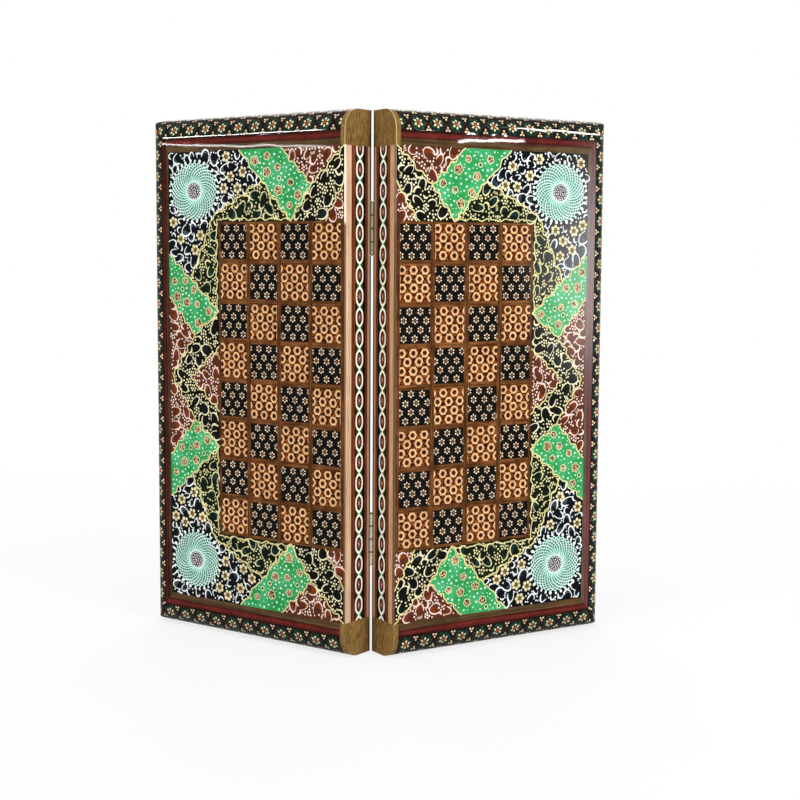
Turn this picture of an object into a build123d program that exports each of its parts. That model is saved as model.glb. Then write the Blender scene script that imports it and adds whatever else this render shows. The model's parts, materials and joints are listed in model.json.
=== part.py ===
"""Folding backgammon box with an inlaid chess board on its back.

Two shallow wooden trays are hinged along one long side. The box stands on its end, opened like
a book, with the hinged spine towards -Y and the chess sides facing outwards. Lengths are in
millimetres, +Z runs up along the hinge, and the origin is at the middle of the underside.

Each tray is drawn in its own directions first: u runs from the hinge axis across the tray to its
outer side, d runs from the rim to the chess side, and z runs up. They are X, Y and Z until the
tray is turned to its place. The right tray is the mirror image of the left one.
"""
import os

from build123d import *

# How far the box is opened, between the two rims, in degrees
opening_angle = 112.6

# Gap between the rims when the box is closed, and between the spines when it lies open and flat
joint_gap = 1.5

# Chess field on one tray
squares_across = 4
squares_along = 8
tile_size = 32.4
lattice_strip = 5.1

# Borders round the chess field, on the outer side and at the two ends
spine_margin = 2.75
painted_side = 65.0
painted_end = 67.0
margin_side = 4.0
margin_end = 6.0
line_side = 5.0
line_end = 6.5
khatam_side = 19.25
khatam_end = 20.5

# Tray body
tray_depth = 38.25
wall_thickness = 12.0
floor_thickness = 5.0
veneer = 1.2
lining = 1.0
edge_radius = 19.0
corner_radius = 9.0
rim_edging = 5.0

# Walnut caps at the two ends of each spine, and the pale line along the spine's chess edge
cap_wrap = 5.5
spine_line = 1.3

# Stripes on the spine, from the rim side
rim_stripe = 3.8
chain_width = 14.8
face_stripe = 5.7

# Playing field inside the tray
points_per_end = 6
point_length = 186.0
point_gap = 3.0
inlay_depth = 0.6
medallion_radius = 34.0

# Butt hinges
hinge_inset = 106.5
barrel_radius = 2.4
pin_radius = 1.2
pin_clearance = 0.05
knuckle_count = 4
knuckle_length = 12.2
knuckle_gap = 0.2
leaf_thickness = 0.9
leaf_width = 10.5
leaf_clearance = 0.4
pin_end = 0.3

# Countersunk hinge screws
screw_radius = 1.1
screw_head_radius = 2.2
screw_length = 12.0
screw_spacing = 32.0
screw_slot_width = 0.6
screw_slot_depth = 0.4

# Swing hook on the outer wall, its pivot screw, and the stud that it catches when closed
hook_thickness = 1.2
hook_clearance = 0.3
hook_boss_radius = 4.2
hook_arm_width = 5.0
hook_head_radius = 4.4
hook_tip_length = 5.0
pivot_depth = 11.0
stud_depth = 9.0
pivot_radius = 1.5
pivot_play = 0.08
pivot_head_radius = 3.2
stud_radius = 1.5
stud_play = 0.3
stud_head_radius = 2.8
latch_head_thickness = 1.2
latch_seat = 8.0

# Planes and heights that follow from the sizes above
spine_face = joint_gap / 2
rim = joint_gap / 2
chess_face = rim + tray_depth
square_pitch = tile_size + lattice_strip
field_start = spine_face + spine_margin
field_side = field_start + squares_across * square_pitch
painted_out = field_side + painted_side
margin_out = painted_out + margin_side
line_out = margin_out + line_side
outer_face = line_out + khatam_side
field_half = squares_along * square_pitch / 2
line_inset = khatam_end
margin_inset = line_inset + line_end
cap_height = margin_inset + margin_end
board_height = 2 * (field_half + painted_end + cap_height)
field_bottom = cap_height + painted_end
cap_edge = spine_face + cap_wrap
face_edge = spine_face + spine_line
timber_face = chess_face - veneer
floor_inside = timber_face - floor_thickness
lining_face = floor_inside - lining
inner_near = spine_face + wall_thickness
inner_far = outer_face - wall_thickness
spine_turn = 90 + opening_angle / 2
hinge_length = knuckle_count * knuckle_length
hinge_heights = {"upper": board_height - hinge_inset, "lower": hinge_inset}
latch_height = board_height / 2


def block(u0, u1, d0, d1, z0, z1):
    """Box between two values of u, of d and of z."""
    size = Box(u1 - u0, d1 - d0, z1 - z0)
    return Pos((u0 + u1) / 2, (d0 + d1) / 2, (z0 + z1) / 2) * size


def prism(outline, d0, d1):
    """Outline of (u, z) corners, carried from depth d0 to depth d1."""
    face = make_face(Polyline([(u, d0, z) for u, z in outline], close=True))
    return extrude(face, amount=d1 - d0, dir=(0, 1, 0))


def upright_rod(radius, u, d, z0, z1):
    """Round rod that stands along z."""
    return Pos(u, d, (z0 + z1) / 2) * Cylinder(radius, z1 - z0)


def inward_rod(radius, u0, u1, d, z):
    """Round rod that runs along u."""
    return Pos((u0 + u1) / 2, d, z) * Rot(0, 90, 0) * Cylinder(radius, u1 - u0)


def rounded_form(inset):
    """Solid outer form of a tray, drawn in by inset at its ends, outer side and chess side.

    Three boxes are cut to their common part: one with both end edges rounded, one with the
    outer edge rounded, and one with the two outer corners rounded.
    """
    limits = (spine_face, outer_face - inset, rim, chess_face - inset, inset, board_height - inset)
    ends = block(*limits)
    ends = fillet(ends.edges().filter_by(Axis.X).group_by(Axis.Y)[-1], edge_radius - inset)
    side = block(*limits)
    side = fillet(side.edges().filter_by(Axis.Z).group_by(Axis.Y)[-1].sort_by(Axis.X)[-1:],
                  edge_radius - inset)
    plan = block(*limits)
    plan = fillet(plan.edges().filter_by(Axis.Y).group_by(Axis.X)[-1], corner_radius - inset)
    return ends & side & plan


def frame_strip(u_in, z_in, u_out, z_out, u_start):
    """Three-sided strip of the chess face between two nested outlines, open at the spine.

    u_in and u_out are its inner and outer edges; z_in and z_out are their distances from the ends.
    """
    outside = block(u_start, u_out, timber_face, chess_face, z_out, board_height - z_out)
    inside = block(u_start, u_in, timber_face, chess_face, z_in, board_height - z_in)
    return outside - inside


def tile_places():
    """Lower corner and place in the grid of every square of one tray."""
    edge = lattice_strip / 2
    for column in range(squares_across):
        for row in range(squares_along):
            yield column, row, field_start + column * square_pitch + edge, \
                field_bottom + row * square_pitch + edge


def tiles(parity):
    """Squares of one colour, which take every second place of the grid."""
    return [block(u, u + tile_size, timber_face, chess_face, z, z + tile_size)
            for column, row, u, z in tile_places() if (column + row) % 2 == parity]


def chess_lattice():
    """Walnut grid that holds the squares."""
    slab = block(face_edge, field_side, timber_face, chess_face,
                 field_bottom, board_height - field_bottom)
    return slab - tiles(0) - tiles(1)


def painted_border():
    """Painted panel round three sides of the chess field."""
    return frame_strip(field_side, field_bottom, painted_out, cap_height, face_edge)


def wall_outline(place):
    """Mitred plan of a wall, seen from the chess side."""
    top, low = board_height, wall_thickness
    if place == "bottom":
        return [(inner_near, 0), (outer_face, 0), (inner_far, low), (inner_near, low)]
    if place == "top":
        return [(inner_near, top), (outer_face, top), (inner_far, top - low), (inner_near, top - low)]
    return [(outer_face, 0), (outer_face, top), (inner_far, top - low), (inner_far, low)]


def band_outline(place):
    """Mitred plan of a khatam band, seen from the chess side."""
    top, low = board_height, khatam_end
    if place == "bottom":
        return [(cap_edge, 0), (outer_face, 0), (line_out, low), (cap_edge, low)]
    if place == "top":
        return [(cap_edge, top), (outer_face, top), (line_out, top - low), (cap_edge, top - low)]
    return [(outer_face, 0), (outer_face, top), (line_out, top - low), (line_out, low)]


def spine_stripe_depths():
    """Depths at which the rim stripe, the chain and the face stripe of the spine start and end."""
    first = rim + rim_edging
    second = first + rim_stripe
    third = second + chain_width
    return first, second, third, third + face_stripe


def spine_inlay(d0, d1):
    """Strip let into the spine between two depths, from cap to cap."""
    return block(spine_face, spine_face + veneer, d0, d1, cap_height, board_height - cap_height)


def point_outline(column, at_top):
    """Long triangle with its base at one end of the tray and its tip towards the middle."""
    width = (inner_far - inner_near - 2 * lining) / points_per_end
    left = inner_near + lining + column * width + point_gap / 2
    right = left + width - point_gap
    base = wall_thickness + lining
    tip = base + point_length
    if at_top:
        base, tip = board_height - base, board_height - tip
    return [(left, base), (right, base), ((left + right) / 2, tip)]


def points(parity):
    """Backgammon points of one colour, which take every second place round the tray."""
    return [prism(point_outline(column, at_top), lining_face, lining_face + inlay_depth)
            for at_top in (False, True) for column in range(points_per_end)
            if (column + at_top) % 2 == parity]


def medallion():
    """Round inlay in the middle of the playing field."""
    middle = Pos((inner_near + inner_far) / 2, lining_face + inlay_depth / 2, board_height / 2)
    return middle * Rot(90, 0, 0) * Cylinder(medallion_radius, inlay_depth)


def wall_lining():
    """Four thin boards that line the inside of the walls."""
    low, high = wall_thickness, board_height - wall_thickness
    near, far = inner_near, inner_far
    return [block(near, far, rim, lining_face, low, low + lining),
            block(near, far, rim, lining_face, high - lining, high),
            block(near, near + lining, rim, lining_face, low + lining, high - lining),
            block(far - lining, far, rim, lining_face, low + lining, high - lining)]


def screw_heights(middle):
    """Heights of the two screws of a hinge leaf."""
    return middle - screw_spacing / 2, middle + screw_spacing / 2


def hinge_screw(height):
    """Countersunk wood screw with its head flush with the rim and its slot along z."""
    place = Pos((barrel_radius + leaf_width) / 2, rim, height) * Rot(-90, 0, 0)
    head = place * Pos(0, 0, leaf_thickness / 2) * Cone(screw_head_radius, screw_radius, leaf_thickness)
    shank = place * Pos(0, 0, screw_length / 2) * Cylinder(screw_radius, screw_length)
    slot = place * Pos(0, 0, screw_slot_depth / 2) * Box(screw_slot_width, 3 * screw_head_radius,
                                                         screw_slot_depth)
    return head + shank - slot


def hinge_leaf(middle, parity):
    """Leaf that lies flush in the rim, with every second knuckle of the barrel."""
    low = middle - hinge_length / 2
    far = barrel_radius + leaf_clearance
    leaf = block(far, leaf_width, rim, rim + leaf_thickness, low, low + hinge_length)
    for number in range(parity, knuckle_count, 2):
        start = low + number * knuckle_length + knuckle_gap / 2
        end = start + knuckle_length - knuckle_gap
        leaf += upright_rod(barrel_radius, 0, 0, start, end)
        leaf += block(0, far, rim, rim + leaf_thickness, start, end)
    leaf -= upright_rod(pin_radius + pin_clearance, 0, 0, low, low + hinge_length)
    for height in screw_heights(middle):
        place = Pos((barrel_radius + leaf_width) / 2, rim + leaf_thickness / 2, height)
        leaf -= place * Rot(-90, 0, 0) * Cone(screw_head_radius, screw_radius, leaf_thickness)
    return leaf


def hinge_pin(middle):
    """Pin through all knuckles of a hinge."""
    reach = hinge_length / 2 + pin_end
    return upright_rod(pin_radius, 0, 0, middle - reach, middle + reach)


def hinge_seat(middle):
    """Room for a hinge in the spine: the leaf's mortise, the barrel's notch and the screw holes."""
    reach = hinge_length / 2 + leaf_clearance
    seat = block(0, leaf_width, rim, rim + leaf_thickness, middle - reach, middle + reach)
    seat += upright_rod(barrel_radius + leaf_clearance, 0, 0, middle - reach, middle + reach)
    for height in screw_heights(middle):
        seat += Pos((barrel_radius + leaf_width) / 2, rim + screw_length / 2, height) \
            * Rot(-90, 0, 0) * Cylinder(screw_radius, screw_length)
    return seat


def spine_wall(timber):
    """Hinge-side wall, with its inlays and hinges let in."""
    low, high = cap_height, board_height - cap_height
    wall = block(spine_face, inner_near, rim, timber_face, low, high) & timber
    wall += block(spine_face, face_edge, timber_face, chess_face, low, high)
    first, second, third, fourth = spine_stripe_depths()
    wall -= spine_inlay(first, fourth)
    for middle in hinge_heights.values():
        wall -= hinge_seat(middle)
    return wall


def corner_cap(timber, outer, at_top):
    """Walnut block at one end of the spine, which shows on the spine and a little past its edge."""
    low, high = (board_height - cap_height, board_height) if at_top else (0, cap_height)
    room = block(spine_face, inner_near, rim, chess_face, low, high)
    shown = block(spine_face, cap_edge, rim, chess_face, low, high)
    return (room & timber) + (shown & outer)


def latch_hook():
    """Flat swing hook that hangs down from its pivot, with an open notch for the stud."""
    near = outer_face + hook_clearance
    far = near + hook_thickness
    reach = pivot_depth + stud_depth
    top, low = latch_height, latch_height - reach
    half = hook_arm_width / 2
    hook = inward_rod(hook_boss_radius, near, far, pivot_depth, top)
    hook += inward_rod(hook_head_radius, near, far, pivot_depth, low)
    hook += block(near, far, pivot_depth - half, pivot_depth + half,
                  low - hook_head_radius - hook_tip_length + half, top)
    hook += inward_rod(half, near, far, pivot_depth, low - hook_head_radius - hook_tip_length + half)
    mouth = stud_radius + stud_play
    ring = inward_rod(reach + mouth, near, far, pivot_depth, top)
    ring -= inward_rod(reach - mouth, near, far, pivot_depth, top)
    ring &= block(near, far, pivot_depth - 2 * hook_head_radius, pivot_depth, low - mouth, top)
    hook -= ring
    hook -= inward_rod(mouth, near, far, pivot_depth, low)
    hook -= inward_rod(pivot_radius + pivot_play, near, far, pivot_depth, top)
    return hook


def latch_fastener(radius, head_radius, depth):
    """Round pin seated in the outer wall, with a wide head that keeps the hook on."""
    head_start = outer_face + 2 * hook_clearance + hook_thickness
    pin = inward_rod(radius, outer_face - latch_seat, head_start, depth, latch_height)
    return pin + inward_rod(head_radius, head_start, head_start + latch_head_thickness,
                            depth, latch_height)


def latch_hole(radius, depth):
    """Hole for the seat of a latch pin."""
    return inward_rod(radius, outer_face - latch_seat, outer_face, depth, latch_height)


def tray(side):
    """All pieces of one tray by name, in the tray's own directions."""
    outer = rounded_form(0)
    edging = block(spine_face, outer_face, rim, rim + rim_edging, 0, board_height)
    timber = rounded_form(veneer) + (outer & edging)
    skin = outer - timber
    swap = side == "right"
    pin_hole = latch_hole(stud_radius, stud_depth) if swap else latch_hole(pivot_radius, pivot_depth)
    pieces = {}
    for place in ("top", "bottom", "outer"):
        pieces[f"{place}_wall"] = prism(wall_outline(place), rim, timber_face) & timber
        pieces[f"{place}_khatam_band"] = prism(band_outline(place), rim, chess_face) & skin
    pieces["outer_wall"] -= pin_hole
    pieces["outer_khatam_band"] -= pin_hole
    pieces["spine_wall"] = spine_wall(timber)
    pieces["top_corner_cap"] = corner_cap(timber, outer, True)
    pieces["bottom_corner_cap"] = corner_cap(timber, outer, False)
    pieces["floor_panel"] = timber & block(inner_near, inner_far, floor_inside, timber_face,
                                           wall_thickness, board_height - wall_thickness)
    pieces["chess_lattice"] = chess_lattice()
    pieces["dark_squares"] = tiles(int(swap))
    pieces["light_squares"] = tiles(int(not swap))
    pieces["painted_border"] = painted_border()
    pieces["walnut_margin"] = frame_strip(painted_out, cap_height, margin_out, margin_inset, cap_edge)
    pieces["maroon_line"] = frame_strip(margin_out, margin_inset, line_out, line_inset, cap_edge) & outer
    first, second, third, fourth = spine_stripe_depths()
    pieces["spine_stripes"] = [spine_inlay(first, second), spine_inlay(third, fourth)]
    pieces["spine_chain"] = spine_inlay(second, third)
    dark, light, middle = points(int(swap)), points(int(not swap)), medallion()
    bed = block(inner_near, inner_far, lining_face, floor_inside,
                wall_thickness, board_height - wall_thickness)
    pieces["floor_lining"] = bed - dark - light - middle
    pieces["dark_points"] = dark
    pieces["light_points"] = light
    pieces["medallion"] = middle
    pieces["wall_lining"] = wall_lining()
    pieces["hinge_screws"] = [hinge_screw(height) for middle in hinge_heights.values()
                              for height in screw_heights(middle)]
    return pieces


def stand_up(shape, side):
    """Turn a piece from its tray's own directions to its place in the opened box."""
    turned = Rot(0, 0, spine_turn) * shape
    return mirror(turned, Plane.YZ) if side == "right" else turned


def all_pieces():
    """Every piece of the box by name, round the hinge axis."""
    box = {}
    for side in ("left", "right"):
        parity = int(side == "right")
        for name, piece in tray(side).items():
            solids = piece if isinstance(piece, list) else [piece]
            box[f"{side}_{name}"] = [stand_up(solid, side) for solid in solids]
        for level, height in hinge_heights.items():
            box[f"{level}_hinge_{side}_leaf"] = [stand_up(hinge_leaf(height, parity), side)]
    for level, height in hinge_heights.items():
        box[f"{level}_hinge_pin"] = [hinge_pin(height)]
    box["latch_hook"] = [stand_up(latch_hook(), "left")]
    pivot = latch_fastener(pivot_radius, pivot_head_radius, pivot_depth)
    box["latch_pivot_screw"] = [stand_up(pivot, "left")]
    stud = latch_fastener(stud_radius, stud_head_radius, stud_depth)
    box["latch_stud"] = [stand_up(stud, "right")]
    return box


def write_parts():
    """Move the box over the middle of its footprint and write one file for each name."""
    box = all_pieces()
    whole = Compound([solid for solids in box.values() for solid in solids]).bounding_box()
    middle_y = (whole.min.Y + whole.max.Y) / 2
    os.makedirs("parts", exist_ok=True)
    for name, solids in box.items():
        moved = [Pos(0, -middle_y, 0) * solid for solid in solids]
        export_step(moved[0] if len(moved) == 1 else Compound(moved), f"parts/{name}.step")
    print("the hinge axis lies at y =", round(-middle_y, 4))


write_parts()
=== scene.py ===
import json
import math

import bpy
import numpy as np
from bpy.props import FloatProperty, FloatVectorProperty, PointerProperty
from mathutils import Matrix, Vector
from mathutils.geometry import tessellate_polygon


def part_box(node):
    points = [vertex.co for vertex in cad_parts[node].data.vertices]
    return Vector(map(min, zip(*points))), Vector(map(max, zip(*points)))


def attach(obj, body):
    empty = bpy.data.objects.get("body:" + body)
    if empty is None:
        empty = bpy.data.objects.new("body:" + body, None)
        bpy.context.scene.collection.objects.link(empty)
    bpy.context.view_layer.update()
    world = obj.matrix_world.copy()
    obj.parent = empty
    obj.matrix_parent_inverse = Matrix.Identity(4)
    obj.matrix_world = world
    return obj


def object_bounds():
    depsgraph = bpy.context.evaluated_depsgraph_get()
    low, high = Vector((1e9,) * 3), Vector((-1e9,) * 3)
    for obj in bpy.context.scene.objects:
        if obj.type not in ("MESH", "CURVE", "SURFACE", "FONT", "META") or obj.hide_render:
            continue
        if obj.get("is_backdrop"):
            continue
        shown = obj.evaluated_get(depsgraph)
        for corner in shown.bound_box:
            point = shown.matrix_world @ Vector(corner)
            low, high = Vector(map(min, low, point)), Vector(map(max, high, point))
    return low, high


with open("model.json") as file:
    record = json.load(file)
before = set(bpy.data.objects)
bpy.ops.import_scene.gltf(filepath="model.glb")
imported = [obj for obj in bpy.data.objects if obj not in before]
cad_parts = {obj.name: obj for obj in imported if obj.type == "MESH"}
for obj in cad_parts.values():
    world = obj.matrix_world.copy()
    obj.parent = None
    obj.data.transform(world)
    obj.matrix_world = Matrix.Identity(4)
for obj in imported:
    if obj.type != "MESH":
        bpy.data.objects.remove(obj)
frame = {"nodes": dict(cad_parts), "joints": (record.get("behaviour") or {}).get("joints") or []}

bl_info = {
    "name": "Folding board finish",
    "version": (1, 0, 0),
    "blender": (4, 5, 0),
    "location": "3D View > Sidebar > Board",
    "description": "Painted, inlaid and lacquered surfaces of a folding backgammon and chess box",
    "category": "Object",
}

CAD_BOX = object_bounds()
MM = 0.001
SIDES = ("left", "right")
SEED = 7

# The two trays meet at the hinge line. Across runs from it to a tray's outer side, and deep
# runs from the rim to the chess face.
SPINE_HINGE = next(joint for joint in frame["joints"] if joint["name"] == "spine_hinge")
HINGE_LINE = np.array([*SPINE_HINGE["pos_m"][:2], 0.0])
HALF_OPENING = math.radians(SPINE_HINGE["range_deg"][1] / 2)
SINE, COSINE = math.sin(HALF_OPENING), math.cos(HALF_OPENING)


def tray_axes(side):
    """Unit vectors of a tray as rows: across, deep and up."""
    sign = 2 * SIDES.index(side) - 1
    return np.array([[sign * SINE, COSINE, 0.0], [sign * COSINE, -SINE, 0.0], [0.0, 0.0, 1.0]])


def tray_vertices(side, name):
    """Vertices of a tray's CAD node as rows of across, deep and height."""
    vertices = frame["nodes"][f"{side}_{name}"].data.vertices
    world = np.empty(len(vertices) * 3, np.float32)
    vertices.foreach_get("co", world)
    return (world.reshape(-1, 3) - HINGE_LINE) @ tray_axes(side).T


def span(name):
    """Lowest and highest across, deep and height of a node, alike on both trays."""
    vertices = tray_vertices("right", name)
    return vertices.min(0), vertices.max(0)


# Sizes read from the frame
(_, _, FIELD_BOTTOM), (FIELD_SIDE, CHESS_FACE, FIELD_TOP) = span("chess_lattice")
SQUARES_LOW, SQUARES_HIGH = span("dark_squares")
PAINT_LOW, PAINT_HIGH = span("painted_border")
MARGIN_HIGH = span("walnut_margin")[1]
(END_BAND_START, _, LINE_TOP), (_, _, BOARD_HEIGHT) = span("top_khatam_band")
(LINE_OUT, BAND_RIM, _), (OUTER_FACE, _, _) = span("outer_khatam_band")
CHAIN_LOW, CHAIN_HIGH = span("spine_chain")
MEDALLION_LOW, MEDALLION_HIGH = span("medallion")
FLOOR_FACE = span("floor_lining")[0][1]
RIM_DEPTH = span("spine_wall")[0][1]
SPINE_FACE = CHAIN_LOW[0]
MIDDLE = BOARD_HEIGHT / 2
SQUARES_ACROSS, SQUARES_ALONG = 4, 8
PITCH = (FIELD_TOP - FIELD_BOTTOM) / SQUARES_ALONG
TILE = SQUARES_HIGH[0] - SQUARES_LOW[0] - (SQUARES_ACROSS - 1) * PITCH

# Radius of the rounded edges, from where the outer band leaves the chess face to its outer side, and of
# a tray's outer corners, from the height at which the flat side of that band ends
BAND = tray_vertices("right", "outer_khatam_band")
TOUCH = 0.01 * MM
EDGE_RADIUS = OUTER_FACE - BAND[BAND[:, 1] > CHESS_FACE - TOUCH, 0].max()
CORNER_RADIUS = BOARD_HEIGHT - BAND[BAND[:, 0] > OUTER_FACE - TOUCH, 2].max()
OUTER_FLAT = OUTER_FACE - EDGE_RADIUS - LINE_OUT
END_FLAT = BOARD_HEIGHT - EDGE_RADIUS - LINE_TOP
ROUND_LENGTH = EDGE_RADIUS * math.pi / 2


def rounded(run, rise, flat):
    """Section of a rim band: outward distance and depth of points that are run along it and rise proud.

    It runs flat on the chess face, turns through a quarter circle, and goes straight to the rim."""
    angle = np.clip((run - flat) / EDGE_RADIUS, 0, math.pi / 2)
    out = np.minimum(run, flat) + (EDGE_RADIUS + rise) * np.sin(angle)
    deep = CHESS_FACE - EDGE_RADIUS + (EDGE_RADIUS + rise) * np.cos(angle)
    return out, deep - np.maximum(run - flat - ROUND_LENGTH, 0)


# Surfaces that carry ornament: each turns a pattern's x, y and rise into across, deep and height.
def on_chess_face(x, y, rise):
    """x runs across, y is the height."""
    return x, CHESS_FACE + rise, y


def on_spine(x, y, rise):
    """x runs deep, y is the height."""
    return SPINE_FACE - rise, x, y


def on_floor(x, y, rise):
    """x runs across, y is the height, on the playing field."""
    return x, FLOOR_FACE - rise, y


def on_outer_band(x, y, rise):
    """x runs over the rounded edge from the maroon line to the rim, y is the height."""
    out, deep = rounded(x, rise, OUTER_FLAT)
    return LINE_OUT + out, deep, y


def on_top_band(x, y, rise):
    """x runs across, y over the rounded top edge."""
    out, deep = rounded(y, rise, END_FLAT)
    return x, deep, LINE_TOP + out


def on_bottom_band(x, y, rise):
    """x runs across, y over the rounded bottom edge: the top band upside down."""
    across, deep, height = on_top_band(x, y, rise)
    return across, deep, BOARD_HEIGHT - height


# The rim bands are cut from strips of marquetry. Each strip has its row of flowers, the share of the
# flowers' pitch by which it is shifted, and its rows of trefoils, measured from the maroon line.
FLOWER_PITCH = 20.75 * MM
BAND_STRIPS = ((8.8 * MM, 0.0, (3.0 * MM, 14.8 * MM)),
               (27.0 * MM, 0.5, (20.8 * MM, 33.0 * MM, 39.0 * MM)))
BAND_STARTS = {"top": 4.5 * MM, "bottom": 15.0 * MM, "outer": 9.0 * MM}
BAND_RUN = OUTER_FLAT + ROUND_LENGTH + CHESS_FACE - EDGE_RADIUS - BAND_RIM
BAND_EDGE = 0.3 * MM
HEXAGON_EDGE = (7.3 * MM, 7.0 * MM)

# Heights over the surface: where forms start, just under it or on a painted panel, and where they end
INLAID = -0.02 * MM
PAINTED = 0.035 * MM
PANEL_RISE = 0.025 * MM
LOW_INLAY = 0.03 * MM
INLAY = 0.05 * MM
HIGH_INLAY = 0.06 * MM
CURL_RIDGE = 0.16 * MM
LINE_RIDGE = 0.17 * MM
DOT_TOP = 0.2 * MM
BEAD_TOP = 0.22 * MM


def headings(count, start=0.0):
    """Angles spread evenly round a turn."""
    return start + np.arange(count) * 2 * math.pi / count


def directions(angles):
    """Unit vectors along angles."""
    return np.stack([np.cos(angles), np.sin(angles)], -1)


def circle(corners, start=0.0):
    """Corners of a regular polygon of radius 1, anticlockwise."""
    return directions(headings(corners, start))


def turned(outlines, turn):
    """Outlines or lines about the origin, each turned by its own angle."""
    x, y = outlines[..., 0], outlines[..., 1]
    cosine, sine = np.cos(turn)[:, None], np.sin(turn)[:, None]
    return np.stack([x * cosine - y * sine, x * sine + y * cosine], -1)


def copies(outline, places, size=1.0, turn=0.0):
    """Copies of one outline, each scaled, turned and moved to its place: (places, corners, 2)."""
    sizes = np.broadcast_to(size, len(places))[:, None, None]
    return places[:, None] + turned(outline * sizes, np.broadcast_to(turn, len(places)))


def six_petals(petal, places, reach, size):
    """Six copies of a petal round each place, pointing away from it."""
    heading = headings(6, math.pi / 6)
    spots = (places[:, None] + directions(heading) * reach).reshape(-1, 2)
    return copies(petal, spots, size, np.tile(heading, len(places)))


# Forms: each gives its points (x, y, rise) and its triangles.
def anticlockwise(outlines):
    """The same outlines, each reversed where its signed area is negative."""
    x, y = outlines[..., 0], outlines[..., 1]
    area = (x * np.roll(y, -1, 1) - y * np.roll(x, -1, 1)).sum(1)
    return np.where(area[:, None, None] < 0, outlines[:, ::-1], outlines)


def at_height(outlines, height):
    """Points of outlines with a third coordinate."""
    return np.concatenate([outlines, np.full((*outlines.shape[:-1], 1), height)], -1)


def grown(faces, count, step):
    """Triangles of one form, repeated for count forms of step points each."""
    return (faces[None] + (np.arange(count) * step)[:, None, None]).reshape(-1, 3)


def quads(a, b, c, d):
    """Two triangles for each four corners, given in turn."""
    return np.concatenate([np.stack([a, b, d], 1), np.stack([d, b, c], 1)])


def strip_faces(corners, loops=2):
    """Triangles that join loops of points, each to the next."""
    now = np.arange(corners)
    after = (now + 1) % corners
    return grown(quads(now, now + corners, after + corners, after), loops - 1, corners)


def stacked(loops, heights, filled=True):
    """Loops of points, each at its height and joined to the next. The first may be filled by a fan."""
    count, corners = loops[0].shape[:2]
    faces = strip_faces(corners, len(loops))
    if filled:
        now = np.arange(1, corners - 1)
        faces = np.concatenate([np.stack([0 * now, now, now + 1], 1), faces])
    points = [at_height(anticlockwise(loop), height) for loop, height in zip(loops, heights)]
    return np.concatenate(points, 1).reshape(-1, 3), grown(faces, count, len(loops) * corners)


def slabs(outlines, rise):
    """Thin flat pieces: each outline filled at height rise, with a wall down into the surface."""
    return stacked([outlines, outlines], (rise, INLAID))


def rings(outer, inner, rise):
    """Flat rings: four loops of points, low outside, high outside, high inside and low inside.

    They go upwards first, unlike those of a slab, so that the triangles are turned over."""
    points, faces = stacked([outer, outer, inner, inner], (INLAID, rise, rise, INLAID), False)
    return points, faces[:, ::-1]


def domes(outlines, rise, base=INLAID):
    """Low domes: each outline lies at height base, and its middle point stands at rise."""
    outlines = anticlockwise(outlines)
    count, corners = outlines.shape[:2]
    points = [at_height(outlines.mean(1, keepdims=True), rise), at_height(outlines, base)]
    rim = np.arange(corners)
    fan = np.stack([0 * rim, rim + 1, (rim + 1) % corners + 1], 1)
    return np.concatenate(points, 1).reshape(-1, 3), grown(fan, count, corners + 1)


def strokes(lines, width, rise, base=PAINTED, closed=False):
    """Brush strokes: at each point of a line stand a left edge and a right edge at base, half the width
    to either side, and a ridge between them at rise. Neighbouring rows are joined, and open ends closed."""
    count, steps = lines.shape[:2]
    ahead, behind = np.roll(lines, -1, 1), np.roll(lines, 1, 1)
    if not closed:
        ahead[:, -1] = lines[:, -1]
        behind[:, 0] = lines[:, 0]
    way = ahead - behind
    way /= np.maximum(np.linalg.norm(way, axis=2, keepdims=True), 1e-9)
    half_width = (np.broadcast_to(width, (count, steps)) / 2)[..., None]
    aside = np.stack([-way[..., 1], way[..., 0]], -1) * half_width
    rows = [at_height(lines + aside, base), at_height(lines, rise), at_height(lines - aside, base)]
    now = 3 * np.arange(steps if closed else steps - 1)
    after = (now + 3) % (3 * steps)
    faces = [quads(now + k, now + k + 1, after + k + 1, after + k) for k in range(2)]
    if not closed:
        last = 3 * (steps - 1)
        faces.append(np.array([[0, 2, 1], [last, last + 1, last + 2]]))
    return np.stack(rows, 2).reshape(-1, 3), grown(np.concatenate(faces), count, 3 * steps)


def plate(outline):
    """A painted panel: its outline filled with triangles, and a wall down into the surface."""
    outline = anticlockwise(outline[None])[0]
    filled = np.array(tessellate_polygon([[Vector((x, y, 0)) for x, y in outline]]))
    a, b, c = (outline[filled[:, k]] for k in range(3))
    clockwise = (b - a)[:, 0] * (c - a)[:, 1] - (b - a)[:, 1] * (c - a)[:, 0] < 0
    filled[clockwise] = filled[clockwise][:, ::-1]
    points = np.concatenate([at_height(outline, PANEL_RISE), at_height(outline, INLAID)])
    return points, np.concatenate([filled, strip_faces(len(outline))])


FLAT_AREA = 1e-4 * MM * MM


def cut_to_tile(form, low, high):
    """A form held inside a rectangle: points beyond its edge move to the edge, and flat triangles go."""
    points, faces = form
    points = np.concatenate([np.clip(points[:, :2], low, high), points[:, 2:]], 1)
    a, b, c = (points[faces[:, k]] for k in range(3))
    area = np.linalg.norm(np.cross(b - a, c - a), axis=1)
    return points, faces[area > FLAT_AREA]


def joined(forms):
    """Several forms as one: their points in a row, and their triangles counted on."""
    offsets = np.cumsum([0] + [len(points) for points, _ in forms[:-1]])
    return (np.concatenate([points for points, _ in forms]),
            np.concatenate([faces + offset for (_, faces), offset in zip(forms, offsets)]))


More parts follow.
